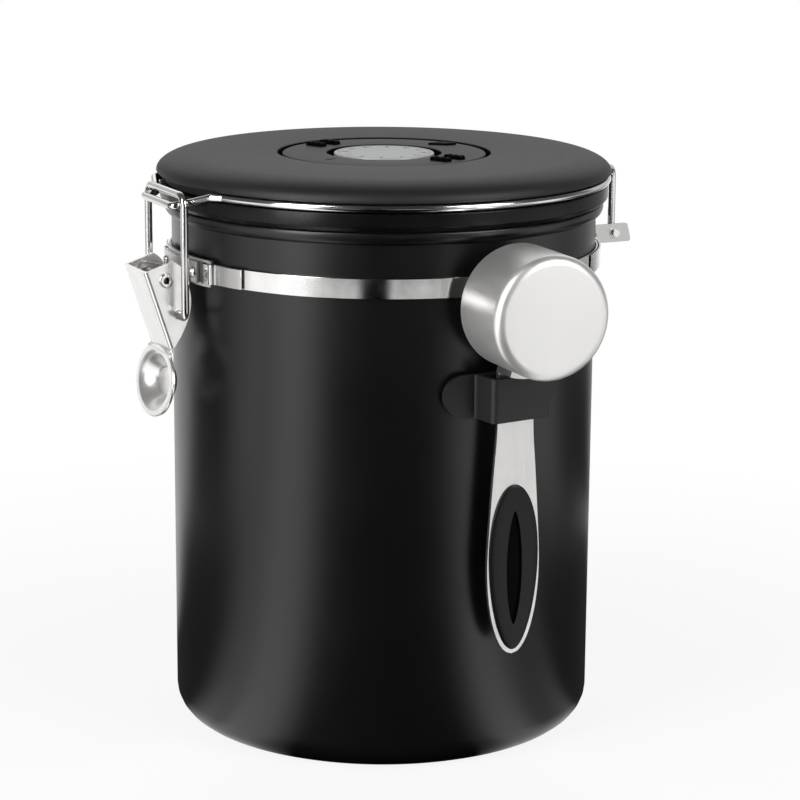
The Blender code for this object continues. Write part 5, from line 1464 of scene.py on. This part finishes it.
class CANISTER_OT_scoop(Operator):
    """Clip-on scoop: drawn cup, flat steel handle with a tab under the cup, and a moulded grip"""
    bl_idname = "canister.scoop"
    bl_label = "Scoop"

    def execute(self, context):
        scoop = context.scene.scoop_sizes
        self.make_cup(scoop)
        self.make_handle(scoop)
        self.make_grip(scoop)
        return {"FINISHED"}

    def make_cup(self, scoop):
        """Spin the cup's profile and lay it with its mouth towards the can."""
        mouth = CLEARANCE
        end = mouth + scoop.cup_depth
        radius, wall = scoop.cup_radius, 0.8 * MM
        profile = [
            (0.0, end - wall, 0.0), (radius - wall, end - wall, 2.2 * MM), (radius - wall, mouth, 0.2 * MM),
            (radius, mouth, 0.25 * MM), (radius, end, 2.8 * MM), (0.0, end, 0.0),
        ]
        cup = spin_piece("drawn_cup", profile, 128, False, 10)
        lay_down = Matrix.Translation((0, 0, scoop.cup_middle)) @ Matrix.Rotation(RIGHT_ANGLE, 4, "X")
        lay(cup, scoop_frame() @ lay_down)
        hang(cup, "scoop", "satined_steel", "scoop_cup", slot="brushed_steel")

    def make_handle(self, scoop):
        """Flat handle from its half outline, with the curved tab that carries the cup."""
        sheet = 1.2 * MM
        top = scoop.cup_middle - scoop.cup_radius - CLEARANCE - sheet / 2
        size = top - scoop.handle_tip
        half_width = scoop.handle_half_width
        right = smooth_through([(half_width * wide, top - size * along) for along, wide in HANDLE_SHARES])
        outline = right + [Vector((-point.x, point.y)) for point in reversed(right[:-1])]
        handle = plate_piece("blade", [((point.x, sheet / 2, point.y), 0.0) for point in outline], (0, -sheet, 0))
        inner = scoop.cup_radius + CLEARANCE
        outer = inner + 1.6 * MM
        start, end = -RIGHT_ANGLE - TAB_HALF_ANGLE, -RIGHT_ANGLE + TAB_HALF_ANGLE
        line = arc((0.0, scoop.cup_middle), (inner, inner), start, end, 12)
        line += arc((0.0, scoop.cup_middle), (outer, outer), end, start, 12)
        tab = plate_piece("tab", [((x, sheet / 2, z), 0.0) for x, z in line], (0, -8.0 * MM - sheet / 2, 0))
        cut(handle, tab, "UNION")
        plug_bottom = scoop.handle_tip + 4.3 * MM
        plug_top = plug_bottom + scoop.grip_length - 6.0 * MM
        hole = self.egg(
            plug_top + RIVET_CLEARANCE, plug_bottom - RIVET_CLEARANCE, scoop.plug_half_width + RIVET_CLEARANCE,
            -CUT_OVERRUN,
        )
        cut(handle, plate_piece("hole", hole, (0, CUT_OVERRUN * 2, 0)))
        soften(handle, 0.25 * MM, 3)
        lay(handle, scoop_frame())
        hang(handle, "scoop", "brushed_steel", "scoop_handle", slot="brushed_steel")

    def egg(self, top, bottom, half_width, depth, steps=72):
        """Corners of an oval that is fuller in its upper half."""
        middle, half = (top + bottom) / 2, (top - bottom) / 2
        corners = []
        for step in range(steps):
            turn = FULL_TURN * step / steps
            across = half_width * math.sin(turn) * (1.0 + 0.14 * math.cos(turn))
            corners.append(((across, depth, middle + half * math.cos(turn)), 0.0))
        return corners

    def make_grip(self, scoop):
        """Two egg-shaped faces on one plug through the blade, each with a long spindle-shaped dent."""
        bottom = scoop.handle_tip + 1.3 * MM
        top = bottom + scoop.grip_length
        inner = 0.75 * MM
        outer = scoop.grip_thickness / 2
        inset = 3.0 * MM
        middle = (top + bottom) / 2
        grip = plate_piece(
            "moulded_grip", self.egg(top - inset, bottom + inset, scoop.plug_half_width, 0.2 * MM - outer),
            (0, 2 * (outer - 0.2 * MM), 0),
        )
        depth = outer - DENT_DEPTH
        for side in (-1, 1):
            cut(grip, self.domed_face(scoop, top, bottom, side * inner, side * outer), "UNION")
            dent = []
            for step in range(48):
                turn = FULL_TURN * step / 48
                across = DENT_HALF_WIDTH * math.sin(turn) * abs(math.sin(turn)) ** 0.35
                dent.append(((across, side * depth, middle + DENT_HALF_HEIGHT * math.cos(turn)), 0.0))
            cut(grip, plate_piece("dent", dent, (0, side * CUT_OVERRUN, 0)))
        shade(grip, 40)
        hang(grip, "scoop", "grip", "scoop_grip", slot="matt_plastic")
        # Painted shade: the dent's floor and walls are made deep black, standing in for the shade of a deeper recess.
        edge = 0.05 * MM
        second_finish(grip, "black_inserts_and_painted_shade", lambda face: all(
            abs(vertex.co.x) < DENT_HALF_WIDTH + edge and abs(vertex.co.z - middle) < DENT_HALF_HEIGHT + edge
            and abs(vertex.co.y) > depth - WELD for vertex in face.verts
        ) and (abs(abs(face.calc_center_median().y) - depth) < WELD or abs(face.normal.y) < 0.5))
        lay(grip, scoop_frame())

    def domed_face(self, scoop, top, bottom, start, end):
        """One egg-shaped face of the grip, drawn in and raised in steps so that it looks domed."""
        half_width, half_height, middle = scoop.handle_half_width - 0.6 * MM, (top - bottom) / 2, (top + bottom) / 2
        wide_before, high_before, rise_before = half_width, half_height, 0.3
        dome = plate_piece("face", self.egg(top, bottom, half_width, start), (0, (end - start) * rise_before, 0))
        way = 1 if end > start else -1
        choose(dome)
        bpy.ops.object.mode_set(mode="EDIT")
        pick("faces", lambda face: face.normal.y * way > 0.9)
        for inset, rise in DOME_RINGS:
            lift = (end - start) * (rise - rise_before)
            wide, high = half_width - inset * MM, half_height - inset * MM
            bpy.ops.mesh.extrude_region_move(TRANSFORM_OT_translate={"value": (0, lift, 0)})
            bpy.ops.transform.resize(
                value=(wide / wide_before, 1.0, high / high_before), center_override=(0, 0, middle),
            )
            wide_before, high_before, rise_before = wide, high, rise
        return leave_edit(40)


# Studio


# Covers and levels of the reflected cards: by degrees from the camera, and by metres from the can's axis.
CARD_TURNS = {
    "front": ((-42, 0), (-26, 1), (28, 1), (42, 0)),
    "near_sides": ((-136, 0), (-122, 1), (-80, 1), (-64, 0), (70, 0), (82, 1), (140, 1), (160, 0)),
    "far_sides": ((-126, 0), (-116, 1), (-88, 1), (-76, 0), (92, 0), (108, 1), (144, 1), (160, 0)),
    "lit_sides": ((-64, 0), (-56, 1), (-34, 1), (-26, 0), (32, 0), (38, 1), (70, 1), (82, 0)),
    "lit_level": ((-64, 0), (-54, 1.5), (-40, 1.5), (-26, 0), (32, 0), (40, 1.3), (49, 1.3), (58, 0.4), (84, 0.25)),
    "strip_sides": ((-84, 0), (-76, 1), (80, 1), (90, 0)),
    "strip_level": (
        (-84, 0), (-70, 1.3), (-50, 1.3), (-34, 0.8), (-12.5, 0.8), (-10.5, 0), (2, 0), (4.5, 0.78),
        (36, 0.78), (50, 1.1), (80, 1.1), (90, 0),
    ),
}
CARD_REACHES = {
    "near": ((0.05, 0), (0.056, 0.95), (0.20, 0.95), (0.28, 0)),
    "far": ((0.20, 0), (0.26, 0.95), (0.45, 0.95), (0.60, 0.6), (0.99, 0.6)),
    "lit": ((0.062, 0), (0.07, 1), (0.62, 1), (0.66, 0)),
    "strip": ((0.66, 0), (0.68, 1), (0.92, 1), (0.95, 0)),
}
# Softboxes: degrees from the camera, reach, height, width and height of the face in metres, and watts.
SOFTBOXES = {
    "softbox_left": (-43, 1.1, 0.55, 0.42, 1.2, 12.0),
    "softbox_right": (52, 1.2, 0.75, 0.6, 0.9, 9.0),
    "softbox_top": (180, 1.2, 0.95, 1.6, 0.7, 2.0),
}
# The photograph's camera: tilt, pan and roll, distance and height in metres, and angle of view.
CAMERA_PITCH, CAMERA_YAW, CAMERA_ROLL = 0.2293, 0.0068, 0.0070
CAMERA_REACH, CAMERA_HEIGHT = 0.76139, 0.27244
CAMERA_VIEW = math.radians(17.473)


class CANISTER_OT_studio(Operator):
    """Pale floor, white background, reflected cards, softboxes and the camera"""
    bl_idname = "canister.studio"
    bl_label = "Studio"

    def execute(self, context):
        self.lay_floor()
        self.lay_cards()
        self.set_background(context)
        self.hang_lights()
        self.set_camera(context)
        context.scene.view_settings.view_transform = "Standard"
        return {"FINISHED"}

    def flat_card(self, name, size, height):
        """A horizontal card round the canister, with its material's node tree."""
        card = add_object(bpy.ops.mesh.primitive_plane_add, name, size=size)
        lay(card, Matrix.Translation((0, 0, height)))
        material = bpy.data.materials.new(name)
        material.use_nodes = True
        card.data.materials.append(material)
        return card, material.node_tree

    def lay_floor(self):
        """Pale floor that shows white to the camera and in reflections, with the canister's shadow at its foot."""
        tree = self.flat_card("pale_floor", 8.0, 0.0)[1]
        shader = tree.nodes["Principled BSDF"]
        shader.inputs["Base Color"].default_value = linear("#F2F2F2")
        shader.inputs["Roughness"].default_value = 0.9
        place = add_node(tree, "ShaderNodeTexCoord").outputs["Object"]
        reach = add_node(tree, "ShaderNodeVectorMath", {"operation": "LENGTH"}, {0: place}).outputs["Value"]
        cover = {"From Min": 0.1, "From Max": 0.32, "To Min": 0.88, "To Max": 1.0}
        share = add_node(tree, "ShaderNodeMapRange", cover, {"Value": reach}).outputs["Result"]
        rays = self.pick_rays(tree, "Is Camera Ray", "Is Glossy Ray", "Is Transmission Ray")
        seen = add_node(tree, "ShaderNodeMath", {"operation": "MULTIPLY"}, {0: rays, 1: share}).outputs[0]
        white = add_node(tree, "ShaderNodeEmission", {"Color": (1, 1, 1, 1), "Strength": 1.0}).outputs[0]
        self.show(tree, shader.outputs[0], (seen, white))

    def show(self, tree, surface, *covers):
        """Lay shaders over a surface, each by its cover, and make the result the material's surface."""
        for cover, shader in covers:
            surface = add_node(tree, "ShaderNodeMixShader", None, {0: cover, 1: surface, 2: shader}).outputs[0]
        tree.links.new(surface, tree.nodes["Material Output"].inputs["Surface"])

    def lay_cards(self):
        """Cards on the floor, seen only in reflections: black before and beside the canister, lit between."""
        card, tree = self.flat_card("studio_cards", 6.0, 0.5 * MM)
        card.visible_camera = card.visible_diffuse = card.visible_shadow = False
        place = add_node(tree, "ShaderNodeTexCoord").outputs["Object"]
        facing = add_node(tree, "ShaderNodeMapping", {"Rotation": (0, 0, -PHOTO_TURN)}, {"Vector": place})
        split = add_node(tree, "ShaderNodeSeparateXYZ", None, {0: facing.outputs["Vector"]}).outputs
        values = {
            "ahead": add_node(tree, "ShaderNodeMath", {"operation": "MULTIPLY", 1: -1.0}, {0: split["Y"]}).outputs[0],
            "reach": add_node(tree, "ShaderNodeVectorMath", {"operation": "LENGTH"}, {0: place}).outputs["Value"],
        }
        azimuth = add_node(tree, "ShaderNodeMath", {"operation": "ARCTAN2"}, {0: split["X"], 1: values["ahead"]})
        values["turn"] = add_node(
            tree, "ShaderNodeMath", {"operation": "MULTIPLY_ADD", 1: 1 / FULL_TURN, 2: 0.5}, {0: azimuth.outputs[0]},
        ).outputs[0]
        for name, stops in CARD_TURNS.items():
            values[name] = self.mask(tree, values["turn"], 360, 0.5, stops)
        for name, stops in CARD_REACHES.items():
            values[name] = self.mask(tree, values["reach"], 1, 0, stops)
        for name, operation, first, second in (
            ("near", "MULTIPLY", "near", "near_sides"), ("far", "MULTIPLY", "far", "far_sides"),
            ("beside", "MAXIMUM", "near", "far"), ("black", "MAXIMUM", "front", "beside"),
            ("lit", "MULTIPLY", "lit", "lit_sides"), ("strip", "MULTIPLY", "strip", "strip_sides"),
        ):
            links = {0: values[first], 1: values[second]}
            values[name] = add_node(tree, "ShaderNodeMath", {"operation": operation}, links).outputs[0]
        dark = add_node(tree, "ShaderNodeBsdfDiffuse", {"Color": linear("#0A0A0A")}).outputs[0]
        glow = add_node(tree, "ShaderNodeEmission", None, {"Strength": values["lit_level"]}).outputs[0]
        bright = add_node(tree, "ShaderNodeEmission", None, {"Strength": values["strip_level"]}).outputs[0]
        clear = add_node(tree, "ShaderNodeBsdfTransparent").outputs[0]
        self.show(tree, clear, (values["black"], dark), (values["lit"], glow), (values["strip"], bright))

    def pick_rays(self, tree, *kinds):
        """1 for rays of the kinds that Light Path names, and 0 for all others."""
        path = add_node(tree, "ShaderNodeLightPath").outputs
        rays = path[kinds[0]]
        for kind in kinds[1:]:
            rays = add_node(tree, "ShaderNodeMath", {"operation": "MAXIMUM"}, {0: rays, 1: path[kind]}).outputs[0]
        return rays

    def mask(self, tree, source, span, start, stops):
        """A value that goes from stop to stop, each a place in the span with its value."""
        ramp = add_node(tree, "ShaderNodeValToRGB", None, {"Fac": source})
        elements = ramp.color_ramp.elements
        elements[0].position, elements[0].color = 0.0, (stops[0][1],) * 3 + (1,)
        elements[1].position, elements[1].color = 1.0, (stops[-1][1],) * 3 + (1,)
        for place, value in stops:
            elements.new(start + place / span).color = (value,) * 3 + (1,)
        return ramp.outputs["Color"]

    def set_background(self, context):
        """White behind the canister, also in reflections; a dim studio round it."""
        world = bpy.data.worlds.new("studio")
        world.use_nodes = True
        tree = world.node_tree
        background = tree.nodes["Background"]
        background.inputs["Color"].default_value = (1.0, 1.0, 1.0, 1.0)
        way = add_node(tree, "ShaderNodeTexCoord").outputs["Generated"]
        towards_camera = {"operation": "DOT_PRODUCT", 1: tuple(at(PHOTO_TURN, 1.0))}
        front = add_node(tree, "ShaderNodeVectorMath", towards_camera, {0: way}).outputs["Value"]
        halved = {"operation": "MULTIPLY_ADD", 1: 0.5, 2: 0.5}
        share = add_node(tree, "ShaderNodeMath", halved, {0: front}).outputs[0]
        # Glossy rays see the background's white behind the canister and the dim studio on the camera's side.
        around = self.mask(tree, share, 2, 0.5, (
            (-0.98, 0.6), (-0.66, 0.6), (-0.56, 0.15), (-0.2, 0.08), (0.1, 0.08), (0.6, 0.03), (0.98, 0.03),
        ))
        rays = self.pick_rays(tree, "Is Camera Ray", "Is Transmission Ray")
        level = add_node(tree, "ShaderNodeMath", {"operation": "MAXIMUM"}, {0: rays, 1: around})
        tree.links.new(level.outputs[0], background.inputs["Strength"])
        context.scene.world = world

    def hang_lights(self):
        """Two tall softboxes beside the camera and a wide one behind and above the lid."""
        aim = Vector((0, 0, 0.09))
        for name, (turn, reach, height, wide, tall, power) in SOFTBOXES.items():
            place = at(PHOTO_TURN + math.radians(turn), reach, height)
            lamp = add_object(bpy.ops.object.light_add, name, type="AREA", location=place)
            lamp.data.shape = "RECTANGLE"
            lamp.data.size, lamp.data.size_y = wide, tall
            lamp.data.energy = power
            lamp.rotation_euler = (aim - place).to_track_quat("-Z", "Y").to_euler()
            lamp.visible_camera = False

    def set_camera(self, context):
        """Camera at the photograph's place, turn and angle of view."""
        level = math.cos(CAMERA_PITCH)
        forward = Vector((math.sin(CAMERA_YAW) * level, math.cos(CAMERA_YAW) * level, -math.sin(CAMERA_PITCH)))
        side = Vector((math.cos(CAMERA_YAW), -math.sin(CAMERA_YAW), 0.0))
        up = side.cross(forward)
        cos, sin = math.cos(CAMERA_ROLL), math.sin(CAMERA_ROLL)
        axes = Matrix((side * cos + up * sin, up * cos - side * sin, -forward)).transposed().to_4x4()
        camera = add_object(bpy.ops.object.camera_add, "photo_camera")
        camera.matrix_world = turned(PHOTO_TURN) @ Matrix.Translation((0.0, -CAMERA_REACH, CAMERA_HEIGHT)) @ axes
        camera.data.sensor_fit = "HORIZONTAL"
        camera.data.angle = CAMERA_VIEW
        camera.data.clip_start = 0.01
        context.scene.camera = camera


# Add-on

GROUPS = {
    "can_sizes": CanSizes,
    "strap_sizes": StrapSizes,
    "lid_sizes": LidSizes,
    "dial_sizes": DialSizes,
    "wire_sizes": WireSizes,
    "lever_sizes": LeverSizes,
    "scoop_sizes": ScoopSizes,
    "canister_colours": FinishColours,
}
OPERATORS = (
    CANISTER_OT_can, CANISTER_OT_straps, CANISTER_OT_latch_bracket, CANISTER_OT_hinge_bracket,
    CANISTER_OT_scoop_holder, CANISTER_OT_lid_pan, CANISTER_OT_lid_valve, CANISTER_OT_lid_cover,
    CANISTER_OT_dial, CANISTER_OT_lid_wire, CANISTER_OT_lever, CANISTER_OT_bail, CANISTER_OT_scoop,
    CANISTER_OT_studio,
)


class CANISTER_PT_panel(Panel):
    """Sidebar panel with the sizes and the pieces"""
    bl_idname = "CANISTER_PT_panel"
    bl_label = "Canister"
    bl_space_type = "VIEW_3D"
    bl_region_type = "UI"
    bl_category = "Canister"

    def draw(self, context):
        for name in GROUPS:
            box = self.layout.box()
            box.label(text=name.replace("_", " ").capitalize())
            group = getattr(context.scene, name)
            for prop in group.bl_rna.properties:
                if prop.identifier not in {"rna_type", "name"}:
                    box.prop(group, prop.identifier)
        for operator in OPERATORS:
            self.layout.operator(operator.bl_idname)


def register():
    """Register the groups, operators and panel."""
    for name, group in GROUPS.items():
        bpy.utils.register_class(group)
        setattr(bpy.types.Scene, name, PointerProperty(type=group))
    for operator in OPERATORS:
        bpy.utils.register_class(operator)
    bpy.utils.register_class(CANISTER_PT_panel)


def unregister():
    """Take the panel, operators and groups out again."""
    bpy.utils.unregister_class(CANISTER_PT_panel)
    for operator in reversed(OPERATORS):
        bpy.utils.unregister_class(operator)
    for name, group in reversed(list(GROUPS.items())):
        delattr(bpy.types.Scene, name)
        bpy.utils.unregister_class(group)


def main():
    """Make every piece and the studio."""
    register()
    for operator in OPERATORS:
        group, name = operator.bl_idname.split(".")
        getattr(getattr(bpy.ops, group), name)()


if __name__ == "__main__":
    main()
